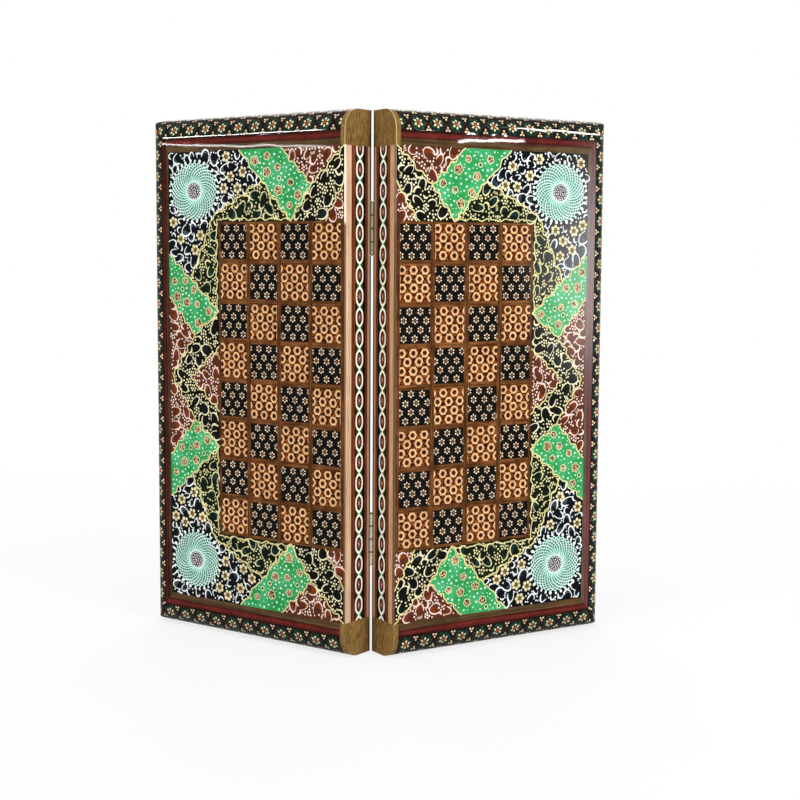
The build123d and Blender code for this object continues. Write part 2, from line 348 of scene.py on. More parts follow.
def laid(surface, side, forms):
    """Forms laid on a surface of a tray, with triangles that face outwards.

    The surface may mirror the pattern. The triple product of its three directions tells."""

    def place(rows):
        return HINGE_LINE + np.stack(surface(*rows.T), 1) @ tray_axes(side)

    points, faces = joined(forms)
    probe = place(points.mean(0) + np.vstack([np.zeros(3), np.eye(3) * MM]))
    if np.linalg.det(probe[1:] - probe[0]) < 0:
        faces = faces[:, ::-1]
    return place(points), faces


def lay(side, name, material, forms, smooth=True):
    """One object from forms, listed by the surface that they lie on.

    It rides on its tray and takes the material that it is given."""
    points, faces = joined([laid(surface, side, pieces) for surface, pieces in forms.items()])
    used, faces = np.unique(faces, return_inverse=True)
    points, faces = points[used], faces.reshape(-1, 3)
    body = f"{side}_tray"
    mesh = bpy.data.meshes.new(f"{side}_{name}")
    mesh.vertices.add(len(points))
    mesh.vertices.foreach_set("co", points.astype(np.float32).ravel())
    mesh.loops.add(faces.size)
    mesh.loops.foreach_set("vertex_index", faces.astype(np.int32).ravel())
    mesh.polygons.add(len(faces))
    mesh.polygons.foreach_set("loop_start", np.arange(0, faces.size, 3, dtype=np.int32))
    mesh.polygons.foreach_set("use_smooth", np.full(len(faces), smooth))
    mesh.update(calc_edges=True)
    mesh.materials.append(material)
    thing = bpy.data.objects.new(f"{side}_{name}", mesh)
    bpy.context.scene.collection.objects.link(thing)
    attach(thing, body)


def lay_layers(side, layers, paints, surface=on_chess_face, smooth=True):
    """Layers of ornament on a surface of a tray, each in the paint of its own name."""
    for name, forms in layers.items():
        lay(side, name, paints[name], {surface: forms}, smooth)


# Materials
def rgb(code):
    """Linear colour of a hexadecimal screen colour."""
    shares = [int(code[k:k + 2], 16) / 255 for k in (0, 2, 4)]
    return tuple(share / 12.92 if share <= 0.04045 else ((share + 0.055) / 1.055) ** 2.4 for share in shares)


def shade(colour, factor=1.0):
    """A colour, from its screen code or its linear shares, made darker or lighter, with full opacity."""
    shares = rgb(colour) if isinstance(colour, str) else colour[:3]
    return (*(min(1.0, share * factor) for share in shares), 1.0)


def node_maths(kind, swapped=False):
    """A method that makes a Math node from a value and another."""

    def method(self, other=0.0):
        first, second = (other, self) if swapped else (self, other)
        return self.recipe.add("Math", {0: first, 1: second}, operation=kind)[0]

    return method


class Value:
    """An output of a node: arithmetic on it makes the nodes that work it out."""

    __add__ = node_maths("ADD")
    __sub__ = node_maths("SUBTRACT")
    __rsub__ = node_maths("SUBTRACT", True)
    __mul__ = node_maths("MULTIPLY")
    __gt__ = node_maths("GREATER_THAN")
    __lt__ = node_maths("LESS_THAN")
    __abs__ = node_maths("ABSOLUTE")
    at_least = node_maths("MAXIMUM")
    at_most = node_maths("MINIMUM")
    folded = node_maths("PINGPONG")
    angle_over = node_maths("ARCTAN2")
    sign = node_maths("SIGN")

    def __init__(self, recipe, socket):
        self.recipe, self.socket = recipe, socket

    def between(self, low, high, first=0.0, last=1.0, **settings):
        """The value moved to first at low and to last at high, and held there outside."""
        sockets = {0: self, 1: low, 2: high, 3: first, 4: last}
        return self.recipe.add("MapRange", sockets, **settings)[0]


LACQUER = {"Roughness": 0.5, "Specular IOR Level": 0.0, "Coat Weight": 0.3, "Coat Roughness": 0.02,
           "Coat IOR": 1.2}
THICK_LACQUER = {**LACQUER, "Coat IOR": 1.3}
SATIN = {"Roughness": 0.5, "Specular IOR Level": 0.2, "Coat Weight": 0.25, "Coat Roughness": 0.2,
         "Coat IOR": 1.3}


class Recipe:
    """A material, the world or a lamp being written. Its patterns read the Object coordinates."""

    def __init__(self, owner):
        self.owner = owner
        self.owner.use_nodes = True
        self.tree = self.owner.node_tree
        self.tree.nodes.clear()
        self.vector = self.add("TexCoord")["Object"]

    def add(self, kind, sockets=None, **settings):
        """Makes a node, links the values that it is given, sets the rest, and gives its outputs."""
        node = self.tree.nodes.new("ShaderNode" + kind)
        for key, value in settings.items():
            setattr(node, key, value)
        for key, value in (sockets or {}).items():
            if isinstance(value, Value):
                self.tree.links.new(value.socket, node.inputs[key])
            else:
                node.inputs[key].default_value = value
        values = [Value(self, socket) for socket in node.outputs]
        return {**dict(enumerate(values)), **{value.socket.name: value for value in values}}

    def mix(self, factor, first, second, **settings):
        """The first colour where the factor is 0, and the second where it is 1."""
        colours = [colour if isinstance(colour, Value) else shade(colour) for colour in (first, second)]
        return self.add("Mix", {0: factor, 6: colours[0], 7: colours[1]}, data_type="RGBA", **settings)[2]

    def noise(self, scale, detail, roughness=0.55, stretch=None):
        """Noise over the recipe's coordinates, with each of them multiplied by its stretch."""
        place = self.add("Mapping", {"Vector": self.vector, "Scale": stretch})[0] if stretch else self.vector
        return self.add("TexNoise", {"Vector": place, "Scale": scale, "Detail": detail,
                                     "Roughness": roughness})[0]

    def flecks(self, grain, share):
        """1 in a share of small cells, and 0 in the others."""
        cells = self.add("TexVoronoi", {"Vector": self.vector, "Scale": grain})["Color"]
        return self.add("SeparateColor", {0: cells})[0].between(1 - share, 1 - share + 0.04)

    def bump(self, height, distance):
        """A normal that is tilted as if the surface stood out by the height times the distance."""
        return self.add("Bump", {"Height": height, "Distance": distance, "Strength": 1.0})[0]

    def finished(self, colour, relief, depth, gloss=LACQUER, ripple_depth=0.03 * MM):
        """Closes the recipe with a shader of that colour, and relief in its surface.

        gloss names the values of the shader's own sockets. A clear coat has a slow unevenness."""
        sockets = {"Base Color": colour, **gloss, "Normal": self.bump(relief, depth)}
        if "Coat Weight" in gloss:
            ripple = self.noise(22.0, 2.0, 0.4, (1.0, 1.0, 0.6))
            sockets["Coat Normal"] = self.bump(ripple, ripple_depth)
        self.add("OutputMaterial", {"Surface": self.add("BsdfPrincipled", sockets)[0]})
        return self.owner


class TrayRecipe(Recipe):
    """A finish that knows the across, deep and height of the shaded point.

    The trays mirror each other, so across and deep come from the size of x. The patterns' height is
    shifted on one tray, so that their grain differs."""

    def __init__(self, name):
        super().__init__(bpy.data.materials.new(name))
        place = self.add("SeparateXYZ", {0: self.vector})
        outwards, back = abs(place["X"]), place["Y"] - HINGE_LINE[1]
        self.across = outwards * SINE + back * COSINE
        self.deep = outwards * COSINE - back * SINE
        self.height = place["Z"]
        shifted = self.height + place["X"].sign()
        self.vector = self.add("CombineXYZ", {0: self.across, 1: self.deep, 2: shifted})[0]


# Where the arris starts and ends on the chess face, the height over which its painted highlight and shade
# change, and the width of the painted shade on the spine's edge at the gap
ARRIS_START, ARRIS_END = 0.1 * MM, 1.35 * MM
TINT_CHANGE = 4 * MM
GAP_SHADE_WIDTH = 1.9 * MM


def spine_edges(recipe, colour, arris):
    """Paints the arris between a spine and the chess face in the colours given, which are painted highlights
    and painted shade, and paints shade on the spine's edge at the gap between the trays.

    arris holds the painted colour above the chess field, the painted colour beside the field, and how far it
    reaches onto the spine."""
    above, beside, reach = arris
    beyond = recipe.across - SPINE_FACE
    on_face = (beyond > ARRIS_START) * (beyond < ARRIS_END)
    on_arris = on_face.at_least(recipe.deep > CHESS_FACE - reach)
    tint = recipe.mix(recipe.height.between(FIELD_TOP - TINT_CHANGE, FIELD_TOP), beside, above)
    # Painted shade on the spine's edge at the gap between the trays
    gap_shade = recipe.deep.between(RIM_DEPTH + GAP_SHADE_WIDTH, RIM_DEPTH + 0.75 * GAP_SHADE_WIDTH)
    return recipe.mix(gap_shade * (beyond < GAP_SHADE_WIDTH), recipe.mix(on_arris, colour, tint), "2a1a0e")


LEVEL, UPRIGHT = 0, 2


def timber(name, dark, light, along, gloss=LACQUER, fineness=1.0, contrast=1.0, shortness=1.0, arris=None):
    """Wood with straight grain, level or upright: long streaks, short pores and slow tone changes.

    arris gives the painted highlight and shade on the edge between a spine and the chess face."""
    recipe = TrayRecipe(name)
    stretch = [14.0 * shortness if axis == along else 520.0 * fineness for axis in range(3)]
    streaks = recipe.noise(1.0, 5.0, 0.6, stretch)
    pores = recipe.noise(1.0, 2.0, 0.5, [4.0 * value for value in stretch])
    clouds = recipe.noise(26.0, 3.0)
    colour = recipe.mix(streaks.between(0.5 - 0.22 / contrast, 0.5 + 0.22 / contrast), dark, light)
    colour = recipe.mix(pores.between(0.56, 0.72), colour, shade(dark, 0.45))
    colour = recipe.mix(clouds.between(0.35, 0.75) * 0.35, colour, shade(dark, 0.8))
    if arris:
        colour = spine_edges(recipe, colour, arris)
    return recipe.finished(colour, pores, 0.03 * MM, gloss)


def crossed_grain(recipe, along, beside, roughness):
    """Streaks of strips that lie level, and of strips that stand upright."""
    return [recipe.noise(1.0, 5.0, roughness, stretch)
            for stretch in ((along, 300.0, beside), (beside, 300.0, along))]


# Painted shade on the upright strip, as a factor on its colour for each tray. Painted reflection haze on it,
# as the share of the pale haze colour for each tray.
UPRIGHT_PAINTED_SHADE = {"left": 0.6, "right": 1.0}
UPRIGHT_PAINTED_HAZE = {"left": 0.0, "right": 0.04}
HAZE_COLOUR = (0.80, 0.62, 0.72)


def framed_timber(name, side, dark, light, inner, outer, glowing=0.0):
    """Strips round the border with mitred corners: grain runs along each strip.

    inner and outer are the strips' edges as across and height. glowing brings out the light colour in the
    middle of the strip. On the upright strip the left tray has painted shade, and the right tray a painted
    pale reflection haze."""
    recipe = TrayRecipe(name)
    beside = recipe.across.between(inner[0], outer[0])
    beyond = abs(recipe.height - MIDDLE).between(inner[1] - MIDDLE, outer[1] - MIDDLE)
    is_level = beyond > beside
    level, upright = crossed_grain(recipe, 14.0, 800.0, 0.6)
    streaks = recipe.add("Mix", {0: is_level, 2: upright, 3: level}, data_type="FLOAT")[0]
    tone = streaks + beyond.at_least(beside).folded(0.5) * glowing
    low = 0.3 + 0.2 * glowing
    clouds = recipe.noise(60.0, 3.0)
    colour = recipe.mix(tone.between(low, low + 0.4), dark, light)
    colour = recipe.mix(clouds.between(0.4, 0.7) * 0.5, colour, shade(dark, 0.8))
    # Painted shade darkens the upright strip, and a painted reflection haze whitens it, each by the tray's
    # share
    upright_shading = recipe.mix(is_level, 3 * (UPRIGHT_PAINTED_SHADE[side],), (1.0, 1.0, 1.0))
    colour = recipe.mix(1.0, colour, upright_shading, blend_type="MULTIPLY")
    colour = recipe.mix((1.0 - is_level) * UPRIGHT_PAINTED_HAZE[side], colour, HAZE_COLOUR)
    return recipe.finished(colour, streaks, 0.03 * MM, ripple_depth=0.1 * MM)


def lattice_wood(name, dark, light):
    """Walnut strips between the squares: grain runs along each, and the level ones are more orange."""
    recipe = TrayRecipe(name)
    level, upright = crossed_grain(recipe, 22.0, 620.0, 0.65)
    edge = (PITCH - TILE) / 2
    from_line = (recipe.across - FIELD_SIDE).folded(PITCH / 2)
    is_upright = from_line.between(edge + 0.05 * MM, edge - 0.05 * MM)
    warm = recipe.mix(level.between(0.38, 0.66), dark, shade(light, 1.1))
    deep = recipe.mix(upright.between(0.38, 0.66), shade(dark, 0.85), shade(light, 0.85))
    patches = recipe.noise(75.0, 3.0).between(0.4, 0.66) * 0.7
    colour = recipe.mix(patches, recipe.mix(is_upright, warm, deep), shade(dark, 0.7))
    return recipe.finished(colour, upright, 0.02 * MM)


def paint(name, colour, variety, gloss=LACQUER, grain=420.0, wash=None):
    """Brushed paint under lacquer: thin and thick places, and slow tone changes, or patches of a wash."""
    recipe = TrayRecipe(name)
    brushed, clouds = recipe.noise(grain, 3.0), recipe.noise(55.0, 2.0)
    tone = recipe.mix(brushed.between(0.35, 0.68), shade(colour, 1 - variety), colour)
    patch = wash or shade(colour, 1 + 0.6 * variety)
    tone = recipe.mix(clouds.between(0.42, 0.72) * 0.6, tone, patch)
    return recipe.finished(tone, brushed, 0.015 * MM, gloss)


def shaded_paint(name, inner, outer):
    """Paint that turns from one colour to another by the piece's own tone attribute."""
    recipe = TrayRecipe(name)
    tone = recipe.add("Attribute", attribute_name="tone")["Fac"]
    brushed = recipe.noise(500.0, 3.0)
    patches = brushed.between(0.4, 0.7) * 0.5
    colour = recipe.mix(patches, recipe.mix(tone, inner, outer), shade(outer, 0.7))
    return recipe.finished(colour, brushed, 0.015 * MM)


def speckled(name, ground, fleck, share):
    """Fine marquetry ground: small flecks of a second colour in cells."""
    recipe = TrayRecipe(name)
    tint = recipe.noise(160.0, 3.0)
    colour = recipe.mix(tint.between(0.35, 0.7), shade(ground, 0.75), shade(ground, 1.25))
    return recipe.finished(recipe.mix(recipe.flecks(900.0, share), colour, fleck), tint, 0.01 * MM)


def band_ground(name, start, level):
    """Ground of a rim band: a dark green hexagon round each flower, and maroon-black between them.

    The place over the rounded edge is found back from across, deep and height: the flat part, the angle
    about the middle of the rounding times its radius, and the straight part down to the rim."""
    recipe = TrayRecipe(name)
    if level:
        along, flat = recipe.across, END_FLAT
        outward = abs(recipe.height - MIDDLE) - (LINE_TOP - MIDDLE)
    else:
        along, flat = recipe.height, OUTER_FLAT
        outward = recipe.across - LINE_OUT
    inside = recipe.deep - (CHESS_FACE - EDGE_RADIUS)
    turn = (outward - flat).angle_over(inside).between(0.0, math.pi / 2)
    run = outward.at_most(flat) + turn * ROUND_LENGTH + (inside * -1.0).at_least(0.0)
    hexagons = []
    for row, shift, _ in BAND_STRIPS:
        beside = (along - (start + shift * FLOWER_PITCH)).folded(FLOWER_PITCH / 2)
        apart = abs(run - row)
        slanted = beside * math.cos(math.pi / 6) + apart * 0.5
        hexagons.append(apart.at_least(slanted).between(*HEXAGON_EDGE))
    flecks = recipe.flecks(1100.0, 0.2)
    tint = recipe.noise(120.0, 3.0)
    colour = recipe.mix(hexagons[0].at_least(hexagons[1]), recipe.mix(flecks, "160c0d", "4a2014"),
                        recipe.mix(flecks, "0a2620", "2a5c44"))
    colour = recipe.mix(tint.between(0.4, 0.7) * 0.6, colour, "0a0d0c")
    return recipe.finished(colour, tint, 0.01 * MM, THICK_LACQUER, 0.9 * MM)


def metal(name, colour, roughness, wear, knuckles=None):
    """Worn metal: fine scratches along the height and dull spots.

    knuckles are the height of a hinge's lower end and the length of one knuckle: painted shade darkens the
    seams between the knuckles."""
    recipe = Recipe(bpy.data.materials.new(name))
    scratches = recipe.noise(1.0, 3.0, stretch=(2600.0, 2600.0, 90.0))
    spots = recipe.noise(480.0, 4.0)
    tone = recipe.mix(spots.between(0.45, 0.72), colour, shade(colour, wear))
    if knuckles:
        low, length = knuckles
        height = recipe.add("SeparateXYZ", {0: recipe.vector})["Z"]
        # Painted shade in the seams between the knuckles
        seam_shade = (height - low).folded(length / 2).between(0.9 * MM, 0.35 * MM)
        tone = recipe.mix(seam_shade, tone, "1c1a14")
    gloss = {"Metallic": 1.0, "Roughness": roughness, "Specular IOR Level": 0.5}
    return recipe.finished(tone, scratches, 0.006 * MM, gloss)


def assign(material, *names):
    """Gives the material to CAD nodes. A name without its side means that node on both trays."""
    for name in names:
        for node in [name] if name in frame["nodes"] else [f"{side}_{name}" for side in SIDES]:
            for slot in frame["nodes"][node].material_slots:
                slot.material = material


# Layout of the painted border. A panel's corners are placed from the chess field's outer corner:
# end() gives a place beyond the field's end, and flank() one beside it, both from millimetres.
BORDER_SIDE = (PAINT_HIGH[0] - FIELD_SIDE) / MM
BORDER_END = (PAINT_HIGH[2] - FIELD_TOP) / MM
SPINE_RUN = (FIELD_SIDE - PAINT_LOW[0]) / MM
HALF_FIELD = (FIELD_TOP - MIDDLE) / MM


def end(inwards, beyond):
    return np.array([FIELD_SIDE - inwards * MM, FIELD_TOP + beyond * MM])


def flank(outwards, down):
    return end(-outwards, -down)


CORNERS = {
    "rim_outer": end(26, BORDER_END),
    "rim_inner": end(77.5, BORDER_END),
    "rim_spine": end(SPINE_RUN, BORDER_END),
    "knee": end(113.5, 33),
    "foot": end(89, 0),
    "peak": end(54, 37.4),
    "strip_spine": end(SPINE_RUN, 36),
    "strip_foot": end(130, 0),
    "field_spine": end(SPINE_RUN, 0),
    "bend": end(-6, 6),
    "field_corner": end(0, 0),
    "border_corner": flank(BORDER_SIDE, -BORDER_END),
    "side_rim_high": flank(BORDER_SIDE, 31),
    "side_rim_low": flank(BORDER_SIDE, 72.5),
    "side_peak": flank(36, 55),
    "side_foot": flank(0, 85),
    "side_knee": flank(31.6, 108.4),
    "rim_middle": flank(BORDER_SIDE, HALF_FIELD),
    "tip": flank(61, HALF_FIELD),
    "inner_foot": flank(0, 118.6),
    "inner_tip": flank(37.6, HALF_FIELD),
}
# Edges that carry a waved gold line, each with the place in the wave at which it starts
WAVED = {
    ("rim_outer", "peak"): 0.3, ("peak", "foot"): 1.7, ("rim_inner", "knee"): 2.9, ("knee", "foot"): 4.4,
    ("rim_spine", "knee"): 0.8, ("strip_spine", "strip_foot"): 3.6, ("peak", "bend"): 2.2,
    ("bend", "side_peak"): 5.1, ("side_rim_high", "side_peak"): 4.0, ("side_peak", "side_foot"): 0.9,
    ("side_rim_low", "side_knee"): 2.6, ("side_knee", "side_foot"): 5.6, ("side_knee", "tip"): 3.3,
    ("inner_foot", "inner_tip"): 1.2,
}
# Edges that carry a second, thinner line, and how far the lines beside the chess field keep from it
DOUBLED = (("peak", "bend"), ("bend", "side_peak"), ("peak", "foot"), ("side_peak", "side_foot"),
           ("knee", "foot"), ("side_knee", "side_foot"))
FIELD_GAP = 2.4 * MM
# The middle of the upper rosette, and the length and the height of the lines' waves
ROSETTE_PLACE = flank(31.5, -29.6)
WAVE = 17 * MM
SWELL = 1.7 * MM


def waved(start, finish, phase, swell=SWELL):
    """A line from start to finish in hand-drawn waves: two sines of the way along it, the second twice as
    fast, that fade out at both ends."""
    run = finish - start
    waves = max(round(np.linalg.norm(run) / WAVE), 1)
    share = np.linspace(0, 1, 16 * waves + 1)
    turn = 2 * math.pi * waves * (share + 0.12 / waves * np.sin(5.3 * share + phase)) + phase
    fade = np.minimum(1, 2.5 * waves * np.minimum(share, 1 - share))
    lift = swell * fade * (0.75 * np.sin(turn) + 0.45 * np.sin(2 * turn + 1.3 * phase))
    aside = np.array([-run[1], run[0]]) / np.linalg.norm(run)
    return start + share[:, None] * run + lift[:, None] * aside


def panel_edge(first, second):
    """Points along a panel's edge, waved where it is listed so, without its last point."""
    if (first, second) in WAVED:
        return waved(CORNERS[first], CORNERS[second], WAVED[first, second])[:-1]
    if (second, first) in WAVED:
        return waved(CORNERS[second], CORNERS[first], WAVED[second, first])[:0:-1]
    return CORNERS[first][None]


def mirrored(points):
    """The same points in the lower half of the board."""
    return np.stack([points[..., 0], BOARD_HEIGHT - points[..., 1]], -1)


def panels(*all_names):
    """Outlines of panels from the names of their corners, in the upper half and in the lower half."""
    outlines = [np.concatenate([panel_edge(*pair) for pair in zip(names, names[1:] + names[:1])])
                for names in all_names]
    return [half for outline in outlines for half in (outline, mirrored(outline)[::-1])]


def both_ways(*names):
    """A line along edges to the middle of the board, and on as its mirror image."""
    edges = [panel_edge(*pair) for pair in zip(names[:-1], names[1:])]
    upper = np.concatenate([*edges, CORNERS[names[-1]][None]])
    return np.concatenate([upper, mirrored(upper[:-1])[::-1]])


# The brown triangle beside the middle of the field lies inside a dark chevron.
TRIANGLE = both_ways("inner_foot", "inner_tip")
CHEVRON = np.concatenate([both_ways("side_foot", "side_knee", "tip"), TRIANGLE[::-1]])
PANELS = {
    "green": panels(("rim_outer", "rim_inner", "knee", "foot", "peak"),
                    ("side_rim_high", "side_rim_low", "side_knee", "side_foot", "side_peak")),
    "brown": [*panels(("rim_inner", "rim_spine", "knee"), ("strip_spine", "field_spine", "strip_foot"),
                      ("side_rim_low", "rim_middle", "tip", "side_knee")), TRIANGLE],
    "strip": [*panels(("rim_spine", "strip_spine", "strip_foot", "foot", "knee")), CHEVRON],
    "leaf": panels(("peak", "foot", "field_corner", "side_foot", "side_peak", "bend")),
    "corner": panels(("rim_outer", "peak", "bend", "side_peak", "side_rim_high", "border_corner")),
}


def within(points, outline):
    """Whether points lie in an outline: an odd number of its edges cross the line to their right."""
    x, y = points[:, None, 0], points[:, None, 1]
    ax, ay = outline.T
    bx, by = np.roll(outline, -1, 0).T
    straddle = (ay > y) != (by > y)
    cross = ax + (y - ay) / np.where(by == ay, 1e-12, by - ay) * (bx - ax)
    return (straddle & (x < cross)).sum(1) % 2 == 1


def edge_distance(points, outline):
    """Distance from points to the nearest edge of an outline."""
    run = np.roll(outline, -1, 0) - outline
    away = points[:, None] - outline
    share = np.clip((away * run).sum(2) / np.maximum((run ** 2).sum(1), 1e-15), 0, 1)
    return np.linalg.norm(away - share[..., None] * run, axis=2).min(1)


class Scatter:
    """Finds places in an outline at random, each clear of those taken before. Sizes are in millimetres."""

    def __init__(self, random, outline, *taken):
        self.random, self.outline, self.taken = random, outline, list(taken)

    def places(self, radius, margin, tries):
        """Places for circles of a radius that keep a margin to the outline."""
        spots = self.random.uniform(self.outline.min(0), self.outline.max(0), (tries, 2))
        fits = within(spots, self.outline) & (edge_distance(spots, self.outline) >= margin * MM)
        chosen = []
        for spot in spots[fits]:
            others = np.array(self.taken).reshape(-1, 3)
            if np.all(np.linalg.norm(others[:, :2] - spot, axis=1) >= others[:, 2] + radius * MM):
                self.taken.append((*spot, radius * MM))
                chosen.append(spot)
        return np.array(chosen).reshape(-1, 2)

    def shrink_taken(self, radius):
        self.taken = [(x, y, radius * MM) for x, y, _ in self.taken]


STROKE_STEPS = 17
SHARE = np.linspace(0, 1, STROKE_STEPS)
CRESCENT_WIDTH = 2.1 * MM * (0.12 + 0.88 * np.sin(np.pi * SHARE ** 0.7))
DASH_WIDTH = np.array([0.5, 0.85, 0.4]) * MM
DASH_GAP = 1.4 * MM
LEAF_SHARE = 0.84
DOT = circle(8)
KITE = np.array([[-1.0, 0.0], [0.0, -0.72], [0.95, 0.0], [0.0, 0.72]])
PETAL = circle(8) * [1.12, 0.86]
PETAL[4, 0] *= 0.8


def open_ovals(random, places, reach, slim=0.64, low=0.95, high=1.5):
    """Curled strokes: arcs of ovals, low to high half turns long, flared at the start, turned at random."""
    count = len(places)
    hand = random.choice([-1.0, 1.0], (count, 1))
    sweep = random.uniform(low, high, (count, 1)) * math.pi
    angle = random.uniform(-0.6, 0.6, (count, 1)) + sweep * (SHARE - 0.5)
    flare = 1 + random.uniform(0.05, 0.45, (count, 1)) * (1 - SHARE) ** 3
    length = np.broadcast_to(reach, count)[:, None] * flare
    width = hand * length * slim * random.uniform(0.8, 1.2, (count, 1))
    arc = np.stack([length * np.cos(angle), width * np.sin(angle)], -1)
    arc -= (arc.min(1, keepdims=True) + arc.max(1, keepdims=True)) / 2
    return places[:, None] + turned(arc, random.uniform(0, 2 * math.pi, count))


def brushed_width(width):
    """Width along a stroke: thin where the brush lands, fullest near the end, and rounded off there."""
    share = np.clip((SHARE - 0.15) / 0.6, 0, 1)
    return width * (0.5 + 0.6 * share * share * (3 - 2 * share)) * (1 - 0.8 * SHARE ** 12)


def petals_at(random, places, petals, distance, outline, size):
    """Petals round each place, each flower turned at random and a little uneven."""
    turn = random.uniform(0, 2 * math.pi, len(places))
    spots = copies(circle(petals) * distance, places, 1.0, turn).reshape(-1, 2)
    sizes = size * random.uniform(0.88, 1.12, len(spots))
    return copies(outline, spots, sizes, (turn[:, None] + headings(petals)).ravel())


def dot_clusters(random, places, spacing):
    """Round dots in clusters: one in the middle and six round it, some left out at random."""
    around = np.concatenate([[[0.0, 0.0]], circle(6) * spacing])
    spots = copies(around, places, random.uniform(0.92, 1.12, len(places)),
                   random.uniform(0, math.pi, len(places))).reshape(-1, 2)
    spots += random.normal(0, 0.08 * spacing, spots.shape)
    return spots[random.random(len(spots)) > 0.14]


def ladders(random, places, length):
    """Four short dashes side by side that spread a little, as lines of three points."""
    turn = random.uniform(0, 2 * math.pi, len(places))
    dashes = [np.array([[0.8 * step, -0.5 * length], [step, 0.0], [1.3 * step, 0.5 * length]])
              for step in np.array([-1.5, -0.5, 0.5, 1.5]) * DASH_GAP]
    return np.concatenate([copies(dash, places, 1.0, turn) for dash in dashes])


class Ornament(list):
    """Forms of one paint, gathered until they are laid on the board."""

    def lines(self, lines, width, closed=False):
        if len(lines):
            self.append(strokes(lines, width, CURL_RIDGE, closed=closed))

    def dots(self, places, radius):
        if len(places):
            self.append(domes(copies(DOT, places, radius), DOT_TOP, PAINTED))

    def blobs(self, outlines, rise=0.08 * MM):
        if len(outlines):
            self.append(domes(outlines, rise, PAINTED))

    def leaves(self, lines):
        """The ground inside each oval: the part of its line round the closed end, drawn in."""
        bowl = lines[:, 3:-1]
        middle = bowl.mean(1, keepdims=True)
        self.blobs(middle + (bowl - middle) * LEAF_SHARE)


def scrollwork(random, outline, light, dark):
    """Fills a panel with curled strokes, clusters of dots, crescents and single dots, the largest first.

    light takes the strokes, and dark the ground inside the curls."""
    scatter = Scatter(random, outline)
    big = scatter.places(6.2, 4.4, 900)
    scatter.shrink_taken(4.3)
    lines = open_ovals(random, big, random.uniform(5.4, 6.8, len(big)) * MM)
    light.lines(lines, brushed_width(1.35 * MM))
    dark.leaves(lines)
    clusters = scatter.places(4.0, 3.9, 700)
    light.dots(dot_clusters(random, clusters, 2.85 * MM), 1.02 * MM)
    middling = scatter.places(3.1, 3.2, 900)
    light.lines(open_ovals(random, middling, 3.9 * MM, 0.75, 0.7, 1.25), CRESCENT_WIDTH)
    fans = scatter.places(2.5, 2.5, 150)
    light.lines(ladders(random, fans, 2.8 * MM), DASH_WIDTH)
    single = scatter.places(1.4, 1.7, 3000)
    light.dots(single, random.uniform(0.75, 1.05, len(single)) * MM)


def length_choice(name, description, millimetres):
    return FloatProperty(name=name, description=description, default=millimetres * MM, unit="LENGTH")


def colour_choice(name, description, code):
    return FloatVectorProperty(name=name, description=description, default=rgb(code), size=3,
                               subtype="COLOR", min=0.0, max=1.0)


class BoardSizes(bpy.types.PropertyGroup):
    """Sizes of the repeated patterns."""

    star_pitch: length_choice("Star pitch", "Distance between stars in a row of a dark square", 12.0)
    ring_pitch: length_choice("Ring pitch", "Distance between rings in a row of a light square", 12.3)
    row_pitch: length_choice("Row pitch", "Distance between rows of stars or rings", 8.2)
    ring_radius: length_choice("Ring radius", "Outer radius of a ring in a light square", 4.65)
    ring_width: length_choice("Ring width", "Width of a ring's band", 1.8)
    link_pitch: length_choice("Link pitch", "Distance between links of the spine's chain", 19.0)
    first_link: length_choice("First link", "Middle of the uppermost link below the chain's end", 2.0)
    outline_width: length_choice("Outline width", "Width of the gold lines round the panels", 1.35)
    rosette_radius: length_choice("Rosette radius", "Radius of a corner rosette", 27.0)


class BoardColours(bpy.types.PropertyGroup):
    """Colours of the paints."""

    black: colour_choice("Black", "Ground of the border's corners", "0e1216")
    navy: colour_choice("Navy", "Ground inside the white scrolls", "17222e")
    strip_ground: colour_choice("Strip ground", "Ground of the dark strips", "0f110c")
    olive: colour_choice("Olive", "Ground of the panels at the field's corners", "10190f")
    green: colour_choice("Green", "Green panels", "2f9c52")
    brown: colour_choice("Brown", "Brown panels", "582a1a")
    rust: colour_choice("Rust", "Ground inside the brown panels' curls", "7e3418")
    gold: colour_choice("Gold", "Lines round the panels", "e0d694")
    cream: colour_choice("Cream", "Curls and dots of the dark strips", "ece4ba")
    moss: colour_choice("Moss", "Curls of the panels at the field's corners", "e0daa2")
    pink: colour_choice("Pink", "Curls of the brown panels", "f2dacb")
    white: colour_choice("White", "Scrolls of the corners", "eef2f2")
    petal: colour_choice("Petal", "Petals of the gold flowers", "e8dcb2")
    heart: colour_choice("Heart", "Middle of the gold flowers", "745824")
    mint: colour_choice("Mint", "Lines of the rosettes", "d4f6ea")
    teal: colour_choice("Teal", "Middle of the rosettes' ground", "84c6b6")
    pine: colour_choice("Pine", "Rim of the rosettes' ground", "123e2e")
    rose: colour_choice("Rose", "Flowers on the green panels", "b07c58")


RANDOM_GROUPS = {"strip": 0, "brown": 1, "leaf": 2, "corners": 10, "rosettes": 15, "green": 20,
                 "dark_squares": 30, "light_squares": 40}


def random_for(side, group):
    """A seeded source of random numbers for one group on one tray."""
    return np.random.default_rng([SEED, SIDES.index(side), RANDOM_GROUPS[group]])


